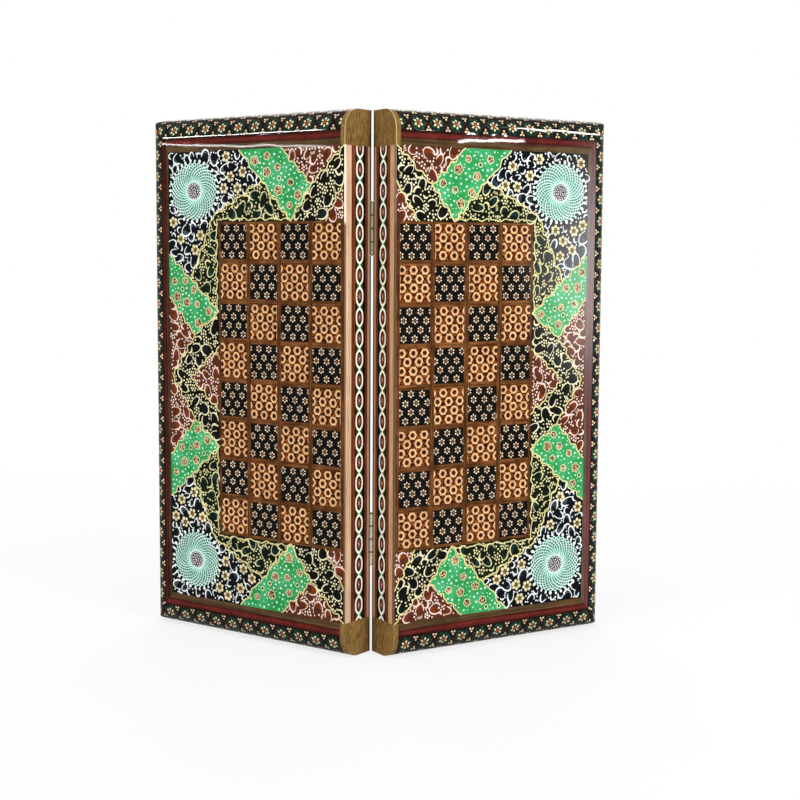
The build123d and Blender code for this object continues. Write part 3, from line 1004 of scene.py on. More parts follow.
class BOARD_OT_timber(bpy.types.Operator):
    """Finish the wooden parts, the veneers and the plain inlays"""

    bl_idname = "board.timber"
    bl_label = "Timber and veneers"

    def execute(self, context):
        # The left spine's timber is painted lighter and the right one's darker, as painted light and shade.
        # The arris colours are a painted cream highlight above the field and painted shade beside it on the
        # left tray, and painted shade on the right.
        spines = {"left": ("bd906c", "f4d6b6", ("fff4e2", "7a5c44", 0.8 * MM)),
                  "right": ("ae8056", "e2ba8e", ("7c6458", "6a4c3c", 2.0 * MM))}
        for side, (dark, light, arris) in spines.items():
            assign(timber(f"{side}_spine_hardwood", dark, light, UPRIGHT, contrast=0.8, arris=arris),
                   f"{side}_spine_wall")
            assign(framed_timber(f"{side}_margin_walnut", side, "2e2012", "6e5436", PAINT_HIGH[::2],
                                 MARGIN_HIGH[::2]), f"{side}_walnut_margin")
            assign(framed_timber(f"{side}_maroon_veneer", side, "2c110e", "6c2822", MARGIN_HIGH[::2],
                                 (LINE_OUT, LINE_TOP), 0.8), f"{side}_maroon_line")
        assign(timber("pale_hardwood_upright", "b98a62", "efcfaa", UPRIGHT, contrast=0.8), "outer_wall")
        assign(timber("pale_hardwood_level", "b98a62", "efcfaa", LEVEL, contrast=0.8),
               "top_wall", "bottom_wall")
        # The caps' arris colours are a painted highlight along the caps' edge
        assign(timber("cap_walnut", "5c441f", "a4824c", UPRIGHT, fineness=1.3, contrast=1.2, shortness=11.0,
                      arris=("b09a6a", "8a6c3e", 0.0)), "top_corner_cap", "bottom_corner_cap")
        assign(timber("floor_board", "9c7a50", "c7a478", LEVEL, SATIN), "floor_panel")
        assign(timber("stripe_veneer", "3e180f", "964c30", UPRIGHT, contrast=1.2), "spine_stripes")
        assign(lattice_wood("lattice_walnut", "42240f", "8a5830"), "chess_lattice")
        assign(speckled("dark_square_ground", "0b0c0a", "2c211a", 0.14), "dark_squares")
        assign(speckled("light_square_ground", "340f06", "96501e", 0.32), "light_squares")
        assign(speckled("chain_ground", "0c0d0a", "241c14", 0.12), "spine_chain")
        for place, start in BAND_STARTS.items():
            assign(band_ground(f"{place}_band_ground", start, place != "outer"), f"{place}_khatam_band")
        assign(paint("border_black", context.scene.board_colours.black, 0.3), "painted_border")
        return {"FINISHED"}


class BOARD_OT_panels(bpy.types.Operator):
    """Lay the green, brown and dark panels of the painted border"""

    bl_idname = "board.panels"
    bl_label = "Painted panels"

    def execute(self, context):
        colours = context.scene.board_colours
        paints = {"green": (colours.green, 0.22, "5cc08a"), "brown": (colours.brown, 0.3, "6e3a2a"),
                  "strip": (colours.strip_ground, 0.3, "1c1a0e"), "leaf": (colours.olive, 0.35, "1c2a1c")}
        for name, (colour, variety, wash) in paints.items():
            material = paint(f"{name}_panels", colour, variety, grain=160.0, wash=wash)
            plates = [plate(outline) for outline in PANELS[name]]
            for side in SIDES:
                lay(side, f"{name}_panels", material, {on_chess_face: plates}, smooth=False)
        return {"FINISHED"}


class BOARD_OT_outlines(bpy.types.Operator):
    """Draw the waved gold lines between the panels and along the chess field"""

    bl_idname = "board.outlines"
    bl_label = "Gold outlines"

    def execute(self, context):
        width = context.scene.board_sizes.outline_width
        material = paint("gold_line", context.scene.board_colours.gold, 0.3)
        lines = [(waved(CORNERS[first], CORNERS[second], phase), width)
                 for (first, second), phase in WAVED.items()]
        lines += [(waved(CORNERS[first], CORNERS[second], phase + 0.9, 1.6 * SWELL), 0.6 * width)
                  for (first, second), phase in WAVED.items() if (first, second) in DOUBLED]
        corner = CORNERS["field_corner"] + FIELD_GAP
        above, beside = CORNERS["foot"] + [0.0, FIELD_GAP], CORNERS["side_foot"] + [FIELD_GAP, 0.0]
        lines += [(waved(above, corner, 0.4, 0.7 * SWELL), 0.8 * width),
                  (waved(corner, beside, 2.4, 0.7 * SWELL), 0.8 * width)]
        forms = [strokes(half[None], wide, LINE_RIDGE)
                 for line, wide in lines for half in (line, mirrored(line)[::-1])]
        for side in SIDES:
            lay(side, "gold_outlines", material, {on_chess_face: forms})
        return {"FINISHED"}


class BOARD_OT_scrollwork(bpy.types.Operator):
    """Fill the dark and the brown panels with scrolls, dots and dashes"""

    bl_idname = "board.scrollwork"
    bl_label = "Scrollwork"

    def execute(self, context):
        colours = context.scene.board_colours
        groups = {"strip": (paint("strip_scrolls", colours.cream, 0.3),
                            paint("strip_leaves", colours.black, 0.3, wash="1c2c3c")),
                  "brown": (paint("brown_scrolls", colours.pink, 0.25),
                            paint("brown_leaves", colours.rust, 0.3)),
                  "leaf": (paint("leaf_scrolls", colours.moss, 0.35),
                           paint("leaf_leaves", "142e32", 0.4, wash="2c4a3c"))}
        for side in SIDES:
            for name, paints in groups.items():
                random = random_for(side, name)
                light, dark = Ornament(), Ornament()
                for outline in PANELS[name]:
                    scrollwork(random, outline, light, dark)
                names = (f"{name}_scrolls", f"{name}_scroll_grounds")
                lay_layers(side, dict(zip(names, (light, dark))), dict(zip(names, paints)))
        return {"FINISHED"}


class BOARD_OT_corners(bpy.types.Operator):
    """Paint the white scrolls and gold flowers round the corner rosettes"""

    bl_idname = "board.corners"
    bl_label = "Corner ornament"

    def execute(self, context):
        colours = context.scene.board_colours
        keep_out = context.scene.board_sizes.rosette_radius + 3 * MM
        paints = {"corner_scrolls": paint("white_scrolls", colours.white, 0.2),
                  "corner_scroll_grounds": paint("navy_grounds", colours.navy, 0.4, wash="66747e"),
                  "corner_petals": paint("gold_petals", colours.petal, 0.3),
                  "corner_hearts": paint("flower_hearts", colours.heart, 0.3)}
        for side in SIDES:
            random = random_for(side, "corners")
            layers = {name: Ornament() for name in paints}
            white, grounds, petals, hearts = layers.values()
            for outline, rosette in zip(PANELS["corner"], (ROSETTE_PLACE, mirrored(ROSETTE_PLACE))):
                scatter = Scatter(random, outline, (*rosette, keep_out))
                flowers = scatter.places(5.9, 5.6, 260)
                petals.blobs(petals_at(random, flowers, 6, 3.75 * MM, circle(10), 1.72 * MM), 0.3 * MM)
                hearts.dots(flowers, 1.9 * MM)
                for radius, reach, width in ((4.4, 6.2, 1.7), (3.0, 4.1, 1.5)):
                    big = scatter.places(radius, 0.92 * radius, 900)
                    lines = open_ovals(random, big, reach * random.uniform(0.85, 1.1, len(big)) * MM)
                    white.lines(lines, brushed_width(width * MM))
                    grounds.leaves(lines)
                small = scatter.places(2.5, 2.1, 1200)
                white.lines(open_ovals(random, small, 3.1 * MM, 0.8, 0.7, 1.2), 0.8 * CRESCENT_WIDTH)
                white.dots(scatter.places(1.1, 1.2, 2200), 0.85 * MM)
            lay_layers(side, layers, paints)
        return {"FINISHED"}


ROSETTE_ARMS, ROSETTE_STEPS = 32, 16
ROSETTE_TWIST = 0.85
ROSETTE_DISC = 8.3 * MM
ROSETTE_WIDENING = 1.07
ROSETTE_BASE = 0.045 * MM
GROUND_LOOPS, GROUND_CORNERS = 11, 56


def rosette_lines(centre, start, finish, twist, first, bend):
    """Swirl lines between two distances from the middle: the angle grows with a power of the way along."""
    share = np.linspace(0, 1, ROSETTE_STEPS)
    angle = headings(ROSETTE_ARMS, first * 2 * math.pi / ROSETTE_ARMS)[:, None] + twist * share ** bend
    return centre + directions(angle) * (start + (finish - start) * share)[:, None]


def rosette_ground(centre, radius):
    """A disc of loops of points, one inside the other, and how far out each point lies."""
    share = np.linspace(0.02, 1, GROUND_LOOPS)
    loops = centre + circle(GROUND_CORNERS) * (radius * share)[:, None, None]
    heights = [INLAY] * (GROUND_LOOPS - 1) + [PAINTED]
    return stacked(loops[:, None], heights), np.repeat(share, GROUND_CORNERS)


def laid_wider(forms):
    """Forms of a rosette drawn out across: they are a little wider than high."""
    middle = np.array([ROSETTE_PLACE[0], 0.0, 0.0])
    return [((points - middle) * [ROSETTE_WIDENING, 1, 1] + middle, faces) for points, faces in forms]


class BOARD_OT_rosettes(bpy.types.Operator):
    """Paint the four mint rosettes in the corners of the border"""

    bl_idname = "board.rosettes"
    bl_label = "Rosettes"

    def execute(self, context):
        colours = context.scene.board_colours
        radius = context.scene.board_sizes.rosette_radius
        paints = {"rosette_ground": shaded_paint("rosette_ground", colours.teal, colours.pine),
                  "rosette_lines": paint("rosette_lines", colours.mint, 0.2),
                  "rosette_fine_lines": paint("rosette_fine_lines", "b4ecdc", 0.25),
                  "rosette_beads": paint("rosette_beads", "f2f8f4", 0.15),
                  "rosette_heart": paint("rosette_heart", "54484c", 0.35)}
        inner = 0.9 * ROSETTE_DISC
        widening, net_width, fine_width = (np.linspace(*ends, ROSETTE_STEPS)
                                           for ends in ((0.65, 0.95), (0.35, 0.7), (0.75, 0.4)))
        for side in SIDES:
            random = random_for(side, "rosettes")
            layers = {name: [] for name in paints}
            grounds, lines, fine_lines, beads, hearts = layers.values()
            for centre in (ROSETTE_PLACE, mirrored(ROSETTE_PLACE)):
                ground, shares = rosette_ground(centre, radius)
                grounds.append(ground)
                arms = rosette_lines(centre, inner, radius + 0.6 * MM, ROSETTE_TWIST, 0.0, 1.5)
                arms += random.normal(0, 0.16 * MM, arms.shape)
                uneven = random.uniform(0.75, 1.25, (ROSETTE_ARMS, 1)) * widening
                lines.append(strokes(arms, uneven * MM, LINE_RIDGE, ROSETTE_BASE))
                net = rosette_lines(centre, 0.62 * radius, radius, -0.62, 0.3, 1.2)
                lines.append(strokes(net, net_width * MM, 0.14 * MM, ROSETTE_BASE))
                fine = rosette_lines(centre, inner, 0.72 * radius, 0.5, 0.5, 1.3)
                fine_lines.append(strokes(fine, fine_width * MM, 0.12 * MM, ROSETTE_BASE))
                for distance, shift, low, high in ((1.9, 0.0, 1.15, 1.9), (-2.6, 0.5, 0.45, 0.7)):
                    heading = np.arange(ROSETTE_ARMS) + shift + random.normal(0, 0.08, ROSETTE_ARMS)
                    heading = heading * 2 * math.pi / ROSETTE_ARMS + ROSETTE_TWIST
                    out = radius + (distance + random.uniform(-0.4, 0.4, ROSETTE_ARMS)) * MM
                    spots = centre + directions(heading) * out[:, None]
                    size = random.uniform(low, high, ROSETTE_ARMS) * MM
                    beads.append(domes(copies(PETAL, spots, size, heading), BEAD_TOP, PAINTED))
                hearts.append(domes(copies(circle(24), centre[None], ROSETTE_DISC), 0.12 * MM, 0.1 * MM))
                for number, distance in ((1, 0.0), (6, 2.3), (12, 4.5), (18, 6.7), (24, 8.7)):
                    spots = centre + circle(number, 0.3 * distance) * distance * MM
                    spots += random.normal(0, 0.2 * MM, spots.shape)
                    beads.append(domes(copies(DOT, spots, 0.95 * MM), BEAD_TOP, INLAY))
            wider = {name: laid_wider(forms) for name, forms in layers.items()}
            lay_layers(side, wider, paints)
            tone = bpy.data.meshes[f"{side}_rosette_ground"].attributes.new("tone", "FLOAT", "POINT")
            tone.data.foreach_set("value", np.tile(shares ** 1.3, 2).astype(np.float32))
        return {"FINISHED"}


class BOARD_OT_green_ornament(bpy.types.Operator):
    """Paint the dots and flowers on the green panels"""

    bl_idname = "board.green_ornament"
    bl_label = "Green panels' flowers"

    def execute(self, context):
        colours = context.scene.board_colours
        paints = {"green_dots": paint("green_dots", "dcf8ea", 0.15),
                  "green_petals": paint("green_petals", colours.petal, 0.3),
                  "green_flowers": paint("green_flowers", colours.rose, 0.45, grain=260.0),
                  "green_flower_spots": paint("green_flower_spots", "38180e", 0.3)}
        lobes = circle(20) * (3.9 + 0.5 * np.cos(5 * headings(20)))[:, None] * MM
        for side in SIDES:
            random = random_for(side, "green")
            layers = {name: Ornament() for name in paints}
            dots, cream, flowers, spotted = layers.values()
            for outline in PANELS["green"]:
                scatter = Scatter(random, outline)
                places = scatter.places(6.6, 5.6, 700)
                size = random.uniform(0.8, 1.2, len(places))
                forms = copies(lobes, places, size, random.uniform(0, 6, len(places)))
                forms += random.normal(0, 0.22 * MM, forms.shape)
                middle = forms.mean(1, keepdims=True)
                cream.lines(forms, 0.75 * MM, closed=True)
                flowers.blobs(middle + 0.82 * (forms - middle), 0.09 * MM)
                for reach, dark, pale in ((0.62, 0.3, 0.45), (0.3, 0.25, 0.5)):
                    ring = (middle + reach * (forms - middle))[:, ::3].reshape(-1, 2)
                    chance = random.random(len(ring))
                    spotted.dots(ring[chance < dark], random.uniform(0.7, 1.15, (chance < dark).sum()) * MM)
                    cream.dots(ring[chance > 1 - pale], 0.6 * MM)
                scatter.shrink_taken(4.9)
                buds = scatter.places(2.6, 3.4, 14)
                cream.lines(copies(circle(12) * 2.1 * MM, buds), 0.8 * MM, closed=True)
                spotted.dots(buds, 0.95 * MM)
                large = scatter.places(2.1, 2.2, 900)
                dots.dots(large, random.uniform(0.8, 1.2, len(large)) * MM)
                dots.dots(scatter.places(1.3, 1.5, 900), 0.55 * MM)
            lay_layers(side, layers, paints)
        return {"FINISHED"}


PATTERN_ROWS, PATTERN_COLUMNS = 4, 4


def patterned_squares(side, name, pitch, row_pitch, starts, slack):
    """For each square of a tray, its low corner and the places of its pattern.

    The squares are read from the corners of the CAD node. Places lie in rows, each second row shifted by
    half a pitch, a little unevenly, and reach over the square's sides by the slack."""
    random = random_for(side, name)
    cells = (tray_vertices(side, name)[:, ::2] - SQUARES_LOW[::2]) / PITCH
    rows, columns = np.mgrid[0:PATTERN_ROWS, -1:PATTERN_COLUMNS]
    for cell in np.unique(np.floor(cells + 1e-3).astype(int), axis=0):
        low = SQUARES_LOW[::2] + cell * PITCH
        x = low[0] + random.choice(starts) * pitch + (columns + 0.5 * (rows % 2)) * pitch
        places = np.stack([x, low[1] + row_pitch * (rows + 0.5)], -1).reshape(-1, 2)
        places += random.normal(0, 0.12 * MM, places.shape)
        yield low, places[(places[:, 0] > low[0] - slack) & (places[:, 0] < low[0] + TILE + slack)]


class BOARD_OT_dark_squares(bpy.types.Operator):
    """Inlay the six-petalled stars of the dark squares"""

    bl_idname = "board.dark_squares"
    bl_label = "Dark squares' stars"

    def execute(self, context):
        sizes = context.scene.board_sizes
        paints = {"star_petals": paint("star_petals", "efdcbe", 0.35, grain=300.0),
                  "star_hearts": paint("star_hearts", "7c4426", 0.5, grain=200.0)}
        for side in SIDES:
            layers = {name: [] for name in paints}
            petals, hearts = layers.values()
            squares = patterned_squares(side, "dark_squares", sizes.star_pitch, sizes.row_pitch,
                                        [0.02, 0.34, 0.52, 0.7], 3 * MM)
            for low, places in squares:
                leaves = slabs(six_petals(PETAL, places, 2.5 * MM, 0.9 * MM), INLAY)
                petals.append(cut_to_tile(leaves, low, low + TILE))
                middles = slabs(copies(circle(6), places, 1.15 * MM), INLAY)
                hearts.append(cut_to_tile(middles, low, low + TILE))
            lay_layers(side, layers, paints, smooth=False)
        return {"FINISHED"}


class BOARD_OT_light_squares(bpy.types.Operator):
    """Inlay the hexagonal rings of the light squares"""

    bl_idname = "board.light_squares"
    bl_label = "Light squares' rings"

    def execute(self, context):
        sizes = context.scene.board_sizes
        paints = {"square_rings": paint("ring_veneer", "e4b884", 0.35, grain=260.0),
                  "ring_hearts": paint("ring_hearts", "3c1c0c", 0.4, grain=200.0)}
        inner_radius = sizes.ring_radius - sizes.ring_width / math.cos(math.pi / 6)
        for side in SIDES:
            layers = {name: [] for name in paints}
            ring_forms, hearts = layers.values()
            squares = patterned_squares(side, "light_squares", sizes.ring_pitch, sizes.row_pitch,
                                        [0.05, 0.3, 0.55, 0.68], 5 * MM)
            for low, places in squares:
                outer, inner, heart = (copies(circle(6), places, radius)
                                       for radius in (sizes.ring_radius, inner_radius, 1.75 * MM))
                ring_forms.append(cut_to_tile(rings(outer, inner, INLAY), low, low + TILE))
                hearts.append(cut_to_tile(slabs(heart, LOW_INLAY), low, low + TILE))
            lay_layers(side, layers, paints, smooth=False)
        return {"FINISHED"}


def strip_motifs(finish, start):
    """Khatam flowers as rows of along and run, and the diamonds of the trefoils with their headings."""
    flowers, diamonds, turns = [], [], []
    for row, shift, trefoil_rows in BAND_STRIPS:
        along = np.arange(start + (shift - 1) * FLOWER_PITCH, finish + FLOWER_PITCH, FLOWER_PITCH)
        flowers.append(np.stack([along, np.full(len(along), row)], 1))
        for trefoil_row in trefoil_rows:
            heading = headings(3, math.copysign(math.pi / 2, row - trefoil_row))
            middles = np.stack([along + FLOWER_PITCH / 2, np.full(len(along), trefoil_row)], 1)
            diamonds.append((middles[:, None] + directions(heading) * 1.75 * MM).reshape(-1, 2))
            turns.append(np.tile(heading, len(along)))
    return np.concatenate(flowers), np.concatenate(diamonds), np.concatenate(turns)


def band_forms(finish, start, keep, swapped=False):
    """Petals and hearts of a rim band, without those that keep() turns down.

    swapped exchanges the two directions, for a band whose run comes first."""
    flowers, diamonds, turns = strip_motifs(finish, start)
    pale = np.concatenate([six_petals(KITE, flowers, 3.55 * MM, 2.0 * MM),
                           copies(KITE, diamonds, 1.6 * MM, turns)])
    hearts = copies(circle(6), flowers, 1.95 * MM)
    chosen = [form[keep(form.mean(1))] for form in (pale, hearts)]
    for form in chosen:
        form[..., 1] = np.clip(form[..., 1], 0.15 * MM, BAND_RUN - 0.15 * MM)
    return [domes(form[..., ::-1] if swapped else form, 0.12 * MM) for form in chosen]


MITRE_MARGIN = 1.2 * MM


def in_run(spots):
    """Clear of both long edges of a rim band."""
    return (spots[:, 1] > BAND_EDGE) & (spots[:, 1] < BAND_RUN - BAND_EDGE)


def in_corner(across, height):
    """Short of the rounded outer corners, seen from the chess side."""
    past = np.stack([across - OUTER_FACE, np.abs(height - MIDDLE) - MIDDLE]) + CORNER_RADIUS
    return np.hypot(*np.maximum(past, 0)) < CORNER_RADIUS - 0.1 * MM


def on_end(spots):
    """Within the end band: short of the mitre, whose place across follows the rounded edge."""
    out, _ = rounded(spots[:, 1], 0.0, END_FLAT)
    crease = LINE_OUT + out - END_FLAT + OUTER_FLAT
    on_band = (spots[:, 0] < crease - MITRE_MARGIN) & (spots[:, 0] > END_BAND_START + MITRE_MARGIN)
    return in_run(spots) & on_band & in_corner(spots[:, 0] + MITRE_MARGIN, LINE_TOP + out)


def on_side(spots):
    """Within the outer band: short of the mitres at both ends."""
    out, _ = rounded(spots[:, 1], 0.0, OUTER_FLAT)
    from_middle = np.abs(spots[:, 0] - MIDDLE)
    on_band = from_middle < LINE_TOP + out - OUTER_FLAT + END_FLAT - MIDDLE - MITRE_MARGIN
    return in_run(spots) & on_band & in_corner(LINE_OUT + out, MIDDLE + from_middle + MITRE_MARGIN)


class BOARD_OT_rim_bands(bpy.types.Operator):
    """Inlay the flowers and trefoils of the khatam bands round the rims"""

    bl_idname = "board.rim_bands"
    bl_label = "Rim bands"

    def execute(self, context):
        paints = {"band_petals": paint("band_petals", "f2dcae", 0.35, THICK_LACQUER),
                  "band_hearts": paint("band_hearts", "a84416", 0.4, THICK_LACQUER)}
        bands = {on_top_band: band_forms(OUTER_FACE, BAND_STARTS["top"], on_end),
                 on_bottom_band: band_forms(OUTER_FACE, BAND_STARTS["bottom"], on_end),
                 on_outer_band: band_forms(BOARD_HEIGHT, BAND_STARTS["outer"], on_side, swapped=True)}
        for side in SIDES:
            for index, (name, material) in enumerate(paints.items()):
                lay(side, name, material,
                    {surface: [forms[index]] for surface, forms in bands.items()})
        return {"FINISHED"}


LINK_POWER = 3.2
JOINT = np.array([[5.2, 0.0], [0.0, 3.6], [-5.2, 0.0], [0.0, -3.6]]) * MM
CROSS_ARM = np.array([[-5.8, -4.4], [-4.0, -2.6], [-2.0, -1.0], [0.0, 0.0]]) * MM
CHAIN_INSET = np.array([0.1, 0.05]) * MM
CHAIN_SHIFT = 0.9 * MM


def pointed_oval(half_width, half_length):
    """Outline of an oval with pointed ends: the width is one less a power of the way to the end."""
    angle = headings(24)
    width = half_width * (1 - np.abs(np.cos(angle)) ** LINK_POWER)
    return np.stack([width * np.sign(np.sin(angle)), half_length * np.cos(angle)], 1)


class BOARD_OT_spine_chain(bpy.types.Operator):
    """Inlay the chain of long links on the spines"""

    bl_idname = "board.spine_chain"
    bl_label = "Spine chain"

    def execute(self, context):
        sizes = context.scene.board_sizes
        paints = {"chain_links": paint("link_ivory", "fffbe8", 0.15),
                  "chain_flowers": paint("link_flowers", "94503c", 0.4),
                  "chain_hearts": paint("link_hearts", "d2b496", 0.3),
                  "chain_crosses": paint("link_crosses", "265420", 0.3)}
        low, high = CHAIN_LOW[1:] + CHAIN_INSET, CHAIN_HIGH[1:] - CHAIN_INSET
        heights = np.arange(high[1] - sizes.first_link, low[1] - sizes.link_pitch / 2, -sizes.link_pitch)
        centres = np.stack([np.full(len(heights), (low[0] + high[0]) / 2 + CHAIN_SHIFT), heights], 1)
        joints = centres - [0, sizes.link_pitch / 2]
        links = [copies(pointed_oval(*size), centres) for size in np.array([[5.6, 9.7], [3.7, 6.9]]) * MM]
        petals = six_petals(PETAL, centres, np.array([1.7, 3.0]) * MM, 1.25 * MM)
        hearts = copies(circle(6) * np.array([0.9, 1.4]) * MM, centres)
        arms = [copies(CROSS_ARM * [across, up], joints) for across in (-1, 1) for up in (-1, 1)]
        layers = {"chain_links": [rings(*links, HIGH_INLAY)],
                  "chain_flowers": [slabs(petals, INLAY)], "chain_hearts": [slabs(hearts, HIGH_INLAY)],
                  "chain_crosses": [*(strokes(line, 1.8 * MM, LOW_INLAY, INLAID) for line in arms),
                                    slabs(copies(JOINT, joints), LOW_INLAY)]}
        cut = {name: [cut_to_tile(form, low, high) for form in forms] for name, forms in layers.items()}
        for side in SIDES:
            lay_layers(side, cut, paints, on_spine, smooth=False)
        return {"FINISHED"}


class BOARD_OT_playing_field(bpy.types.Operator):
    """Finish the inside of the trays: field, points, medallions and linings"""

    bl_idname = "board.playing_field"
    bl_label = "Playing field"

    def execute(self, context):
        assign(timber("field_veneer", "7a4a24", "b07a44", UPRIGHT, fineness=0.8), "floor_lining")
        assign(timber("dark_point_veneer", "1c0d08", "43251a", LEVEL, fineness=1.2), "dark_points")
        assign(timber("light_point_veneer", "c79a5e", "ecca92", LEVEL, fineness=1.2), "light_points")
        assign(timber("lining_veneer", "3c1c10", "6a3a20", UPRIGHT, fineness=1.1), "wall_lining")
        assign(speckled("medallion_ground", "0d2a24", "1d4a3c", 0.15), "medallion")
        paints = {"medallion_petals": paint("medallion_ivory", "ecd9a8", 0.25),
                  "medallion_stars": paint("medallion_russet", "b04e24", 0.35)}
        centre = np.array([[(MEDALLION_LOW[0] + MEDALLION_HIGH[0]) / 2, MIDDLE]])
        radius = (MEDALLION_HIGH[0] - MEDALLION_LOW[0]) / 2
        layers = {name: [] for name in paints}
        pale, warm = layers.values()
        for number, share, size in ((6, 0.16, 2.6), (12, 0.4, 2.6), (18, 0.62, 2.5), (24, 0.82, 2.3)):
            angle, half_step = headings(number), math.pi / number
            kites = copies(KITE, centre + directions(angle) * radius * share, size * MM, angle)
            pale.append(slabs(kites, INLAY))
            between = centre + directions(angle + half_step) * radius * (share + 0.1)
            warm.append(slabs(copies(KITE, between, 0.6 * size * MM, angle + half_step), INLAY))
        border = centre + circle(72) * radius * 0.965
        pale.append(strokes(border[None], 1.2 * MM, HIGH_INLAY, INLAID, closed=True))
        for side in SIDES:
            lay_layers(side, layers, paints, on_floor, smooth=False)
        return {"FINISHED"}


KNUCKLES = 4


class BOARD_OT_hardware(bpy.types.Operator):
    """Finish the hinges, their screws and the latch"""

    bl_idname = "board.hardware"
    bl_label = "Hinges and latch"

    def execute(self, context):
        for level, tone in (("upper", "a6a48e"), ("lower", "d6d8cc")):
            low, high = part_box(f"{level}_hinge_left_leaf")
            zinc = metal(f"{level}_hinge_zinc", tone, 0.4, 0.6, (low[2], (high[2] - low[2]) / KNUCKLES))
            assign(zinc, *[f"{level}_hinge_{part}" for part in ("left_leaf", "right_leaf", "pin")])
        assign(metal("screw_zinc", "b4b8ac", 0.4, 0.6), "hinge_screws")
        assign(metal("latch_brass_worn", "c79a4c", 0.3, 0.65), "latch_hook", "latch_pivot_screw",
               "latch_stud")
        return {"FINISHED"}


CAMERA_PLACE = (0.0743, -1.4278, 0.3704)
CAMERA_YAW = math.radians(2.003)
CAMERA_PITCH = math.radians(5.557)
CAMERA_ROLL = math.radians(0.308)
CAMERA_LENS = 67.46
SENSOR_WIDTH = 36.0


def add_camera():
    """Camera where the picture was taken from: turned left by the yaw, down by the pitch, then rolled."""
    forward = Vector((-math.sin(CAMERA_YAW) * math.cos(CAMERA_PITCH),
                      math.cos(CAMERA_YAW) * math.cos(CAMERA_PITCH), -math.sin(CAMERA_PITCH)))
    level_right = forward.cross(Vector((0, 0, 1))).normalized()
    level_up = level_right.cross(forward)
    right = math.cos(CAMERA_ROLL) * level_right + math.sin(CAMERA_ROLL) * level_up
    turn = Matrix((right, right.cross(forward), -forward)).transposed().to_4x4()
    data = bpy.data.cameras.new("camera")
    data.lens = CAMERA_LENS
    data.sensor_width = SENSOR_WIDTH
    camera = bpy.data.objects.new("camera", data)
    camera.matrix_world = Matrix.Translation(CAMERA_PLACE) @ turn
    bpy.context.scene.collection.objects.link(camera)
    bpy.context.scene.camera = camera


def add_softbox(name, place, aim, size, power, for_gloss=False, fading=False):
    """A soft rectangular lamp at a place, aimed at a point.

    for_gloss keeps it to reflections in the lacquer. fading dims it from its middle to its edges."""
    data = bpy.data.lights.new(name, "AREA")
    data.shape = "RECTANGLE"
    data.size, data.size_y = size
    data.energy = power
    lamp = bpy.data.objects.new(name, data)
    lamp.location = place
    lamp.rotation_euler = (Vector(aim) - Vector(place)).to_track_quat("-Z", "Y").to_euler()
    lamp.visible_diffuse = not for_gloss
    bpy.context.scene.collection.objects.link(lamp)
    if fading:
        recipe = Recipe(data)
        spot = recipe.add("NewGeometry")["Parametric"]
        away = recipe.add("VectorMath", {0: spot, 1: (0.5, 0.5, 0.0)}, operation="DISTANCE")["Value"]
        share = away.between(0.0, 0.5, 1.0, 0.0, interpolation_type="SMOOTHSTEP")
        glow = recipe.add("Emission", {"Color": WHITE, "Strength": share})[0]
        recipe.add("OutputLight", {"Surface": glow})


def seen_directly(recipe):
    """1 for rays that show the background: from the camera, from gloss and through glass."""
    path = recipe.add("LightPath")
    return path["Is Camera Ray"].at_least(path["Is Glossy Ray"]).at_least(path["Is Transmission Ray"])


WHITE = (1.0, 1.0, 1.0, 1.0)
FLOOR_RADIUS = 6.0
FLOOR_CORNERS = 96
FLOOR_DEPTH = -0.3 * MM


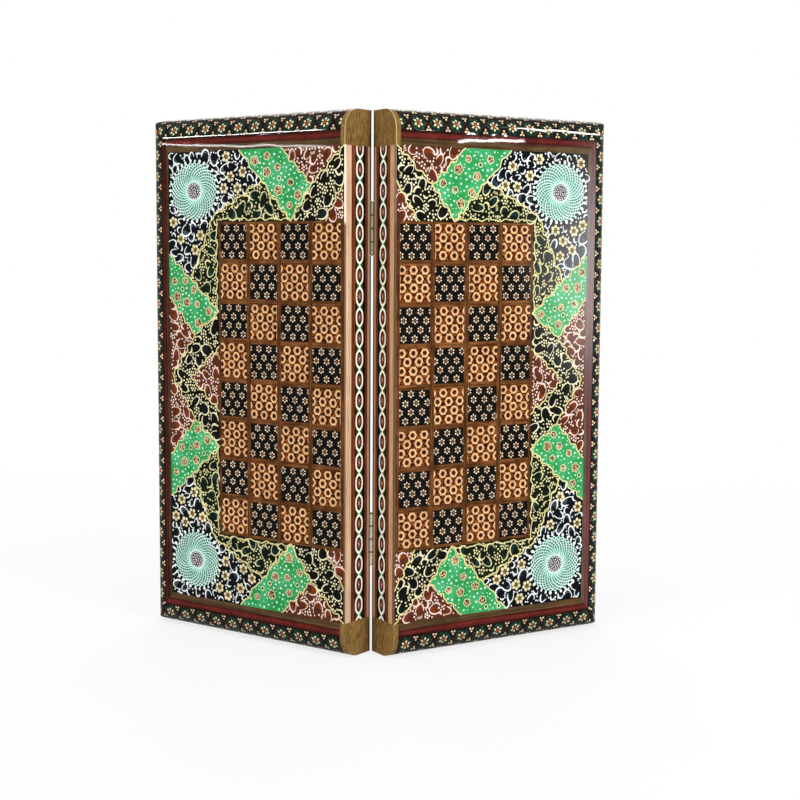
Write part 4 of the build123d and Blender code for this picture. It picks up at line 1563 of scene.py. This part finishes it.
class BOARD_OT_studio(bpy.types.Operator):
    """Set up the pale floor, the soft light, the background and the camera"""

    bl_idname = "board.studio"
    bl_label = "Studio"

    def execute(self, context):
        recipe = Recipe(bpy.data.materials.new("pale_floor"))
        tone = recipe.noise(3.0, 3.0).between(0.3, 0.7)
        matt = recipe.add("BsdfDiffuse", {"Color": recipe.mix(tone, 3 * (0.80,), 3 * (0.84,))})[0]
        glow = recipe.add("Emission", {"Color": WHITE, "Strength": 1.0})[0]
        away = recipe.add("VectorMath", {0: recipe.vector}, operation="LENGTH")["Value"]
        share = seen_directly(recipe) * away.between(0.35, 1.3, 0.75, 1.0)
        recipe.add("OutputMaterial", {"Surface": recipe.add("MixShader", {0: share, 1: matt, 2: glow})[0]})
        mesh = bpy.data.meshes.new("floor")
        corners = [(x, y, FLOOR_DEPTH) for x, y in circle(FLOOR_CORNERS) * FLOOR_RADIUS]
        mesh.from_pydata(corners, [], [list(range(FLOOR_CORNERS))])
        mesh.materials.append(recipe.owner)
        floor = bpy.data.objects.new("floor", mesh)
        context.scene.collection.objects.link(floor)
        floor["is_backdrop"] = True
        world = bpy.data.worlds.new("studio")
        context.scene.world = world
        sky = Recipe(world)
        strength = seen_directly(sky).between(0.0, 1.0, 0.55, 1.0)
        background = sky.add("Background", {"Color": WHITE, "Strength": strength})[0]
        sky.add("OutputWorld", {"Surface": background})
        middle, edge = (0.0, 0.0, MIDDLE), (0.0, 0.0, 0.48)
        add_softbox("front_left", (-1.5, -1.9, 1.2), middle, (1.0, 1.0), 17.5)
        add_softbox("front_right", (1.7, -1.7, 1.05), middle, (1.0, 1.0), 30.0)
        add_softbox("overhead_strip", (0.0, -0.75, 1.9), middle, (2.2, 0.12), 12.0)
        add_softbox("back", (0.0, 1.9, 1.6), middle, (1.6, 1.0), 22.0)
        add_softbox("right_haze", (2.07, -0.45, 0.34), (0.2, 0.08, 0.34), (0.54, 0.74), 130.0,
                    for_gloss=True, fading=True)
        strips = (("edge_strip_left", (-1.955, -0.495, 0.80), (0.36, 0.045), 24.0),
                  ("edge_strip_right", (1.79, -0.80, 0.78), (0.10, 0.06), 8.0),
                  ("edge_streak_right", (1.735, -0.19, 1.57), (0.14, 0.42), 55.0),
                  ("face_strip_left", (-1.96, -0.50, 0.604), (0.38, 0.003), 0.9),
                  ("face_strip_right", (1.88, -0.715, 0.616), (0.14, 0.005), 1.1))
        for name, place, size, power in strips:
            add_softbox(name, place, edge, size, power, for_gloss=True)
        add_camera()
        context.scene.view_settings.view_transform = "Standard"
        return {"FINISHED"}


OPERATORS = (BOARD_OT_timber, BOARD_OT_panels, BOARD_OT_outlines, BOARD_OT_scrollwork, BOARD_OT_corners,
             BOARD_OT_rosettes, BOARD_OT_green_ornament, BOARD_OT_dark_squares, BOARD_OT_light_squares,
             BOARD_OT_rim_bands, BOARD_OT_spine_chain, BOARD_OT_playing_field, BOARD_OT_hardware,
             BOARD_OT_studio)


class BOARD_PT_finish(bpy.types.Panel):
    """Lists the steps that finish the board, with their sizes and colours"""

    bl_idname = "BOARD_PT_finish"
    bl_label = "Board finish"
    bl_space_type = "VIEW_3D"
    bl_region_type = "UI"
    bl_category = "Board"

    def draw(self, context):
        layout = self.layout
        for operator in OPERATORS:
            layout.operator(operator.bl_idname)
        for group in (context.scene.board_sizes, context.scene.board_colours):
            for name in group.__annotations__:
                layout.prop(group, name)


CLASSES = (BoardSizes, BoardColours, *OPERATORS, BOARD_PT_finish)


def register():
    for cls in CLASSES:
        bpy.utils.register_class(cls)
    bpy.types.Scene.board_sizes = PointerProperty(type=BoardSizes)
    bpy.types.Scene.board_colours = PointerProperty(type=BoardColours)


def unregister():
    del bpy.types.Scene.board_colours
    del bpy.types.Scene.board_sizes
    for cls in reversed(CLASSES):
        bpy.utils.unregister_class(cls)


def main():
    """Registers the add-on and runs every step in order."""
    register()
    for operator in OPERATORS:
        group, name = operator.bl_idname.split(".")
        getattr(getattr(bpy.ops, group), name)()
    boxes = {"cad": CAD_BOX, "visual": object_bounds()}
    {name: [list(corner) for corner in box] for name, box in boxes.items()}


if __name__ == "__main__":
    main()
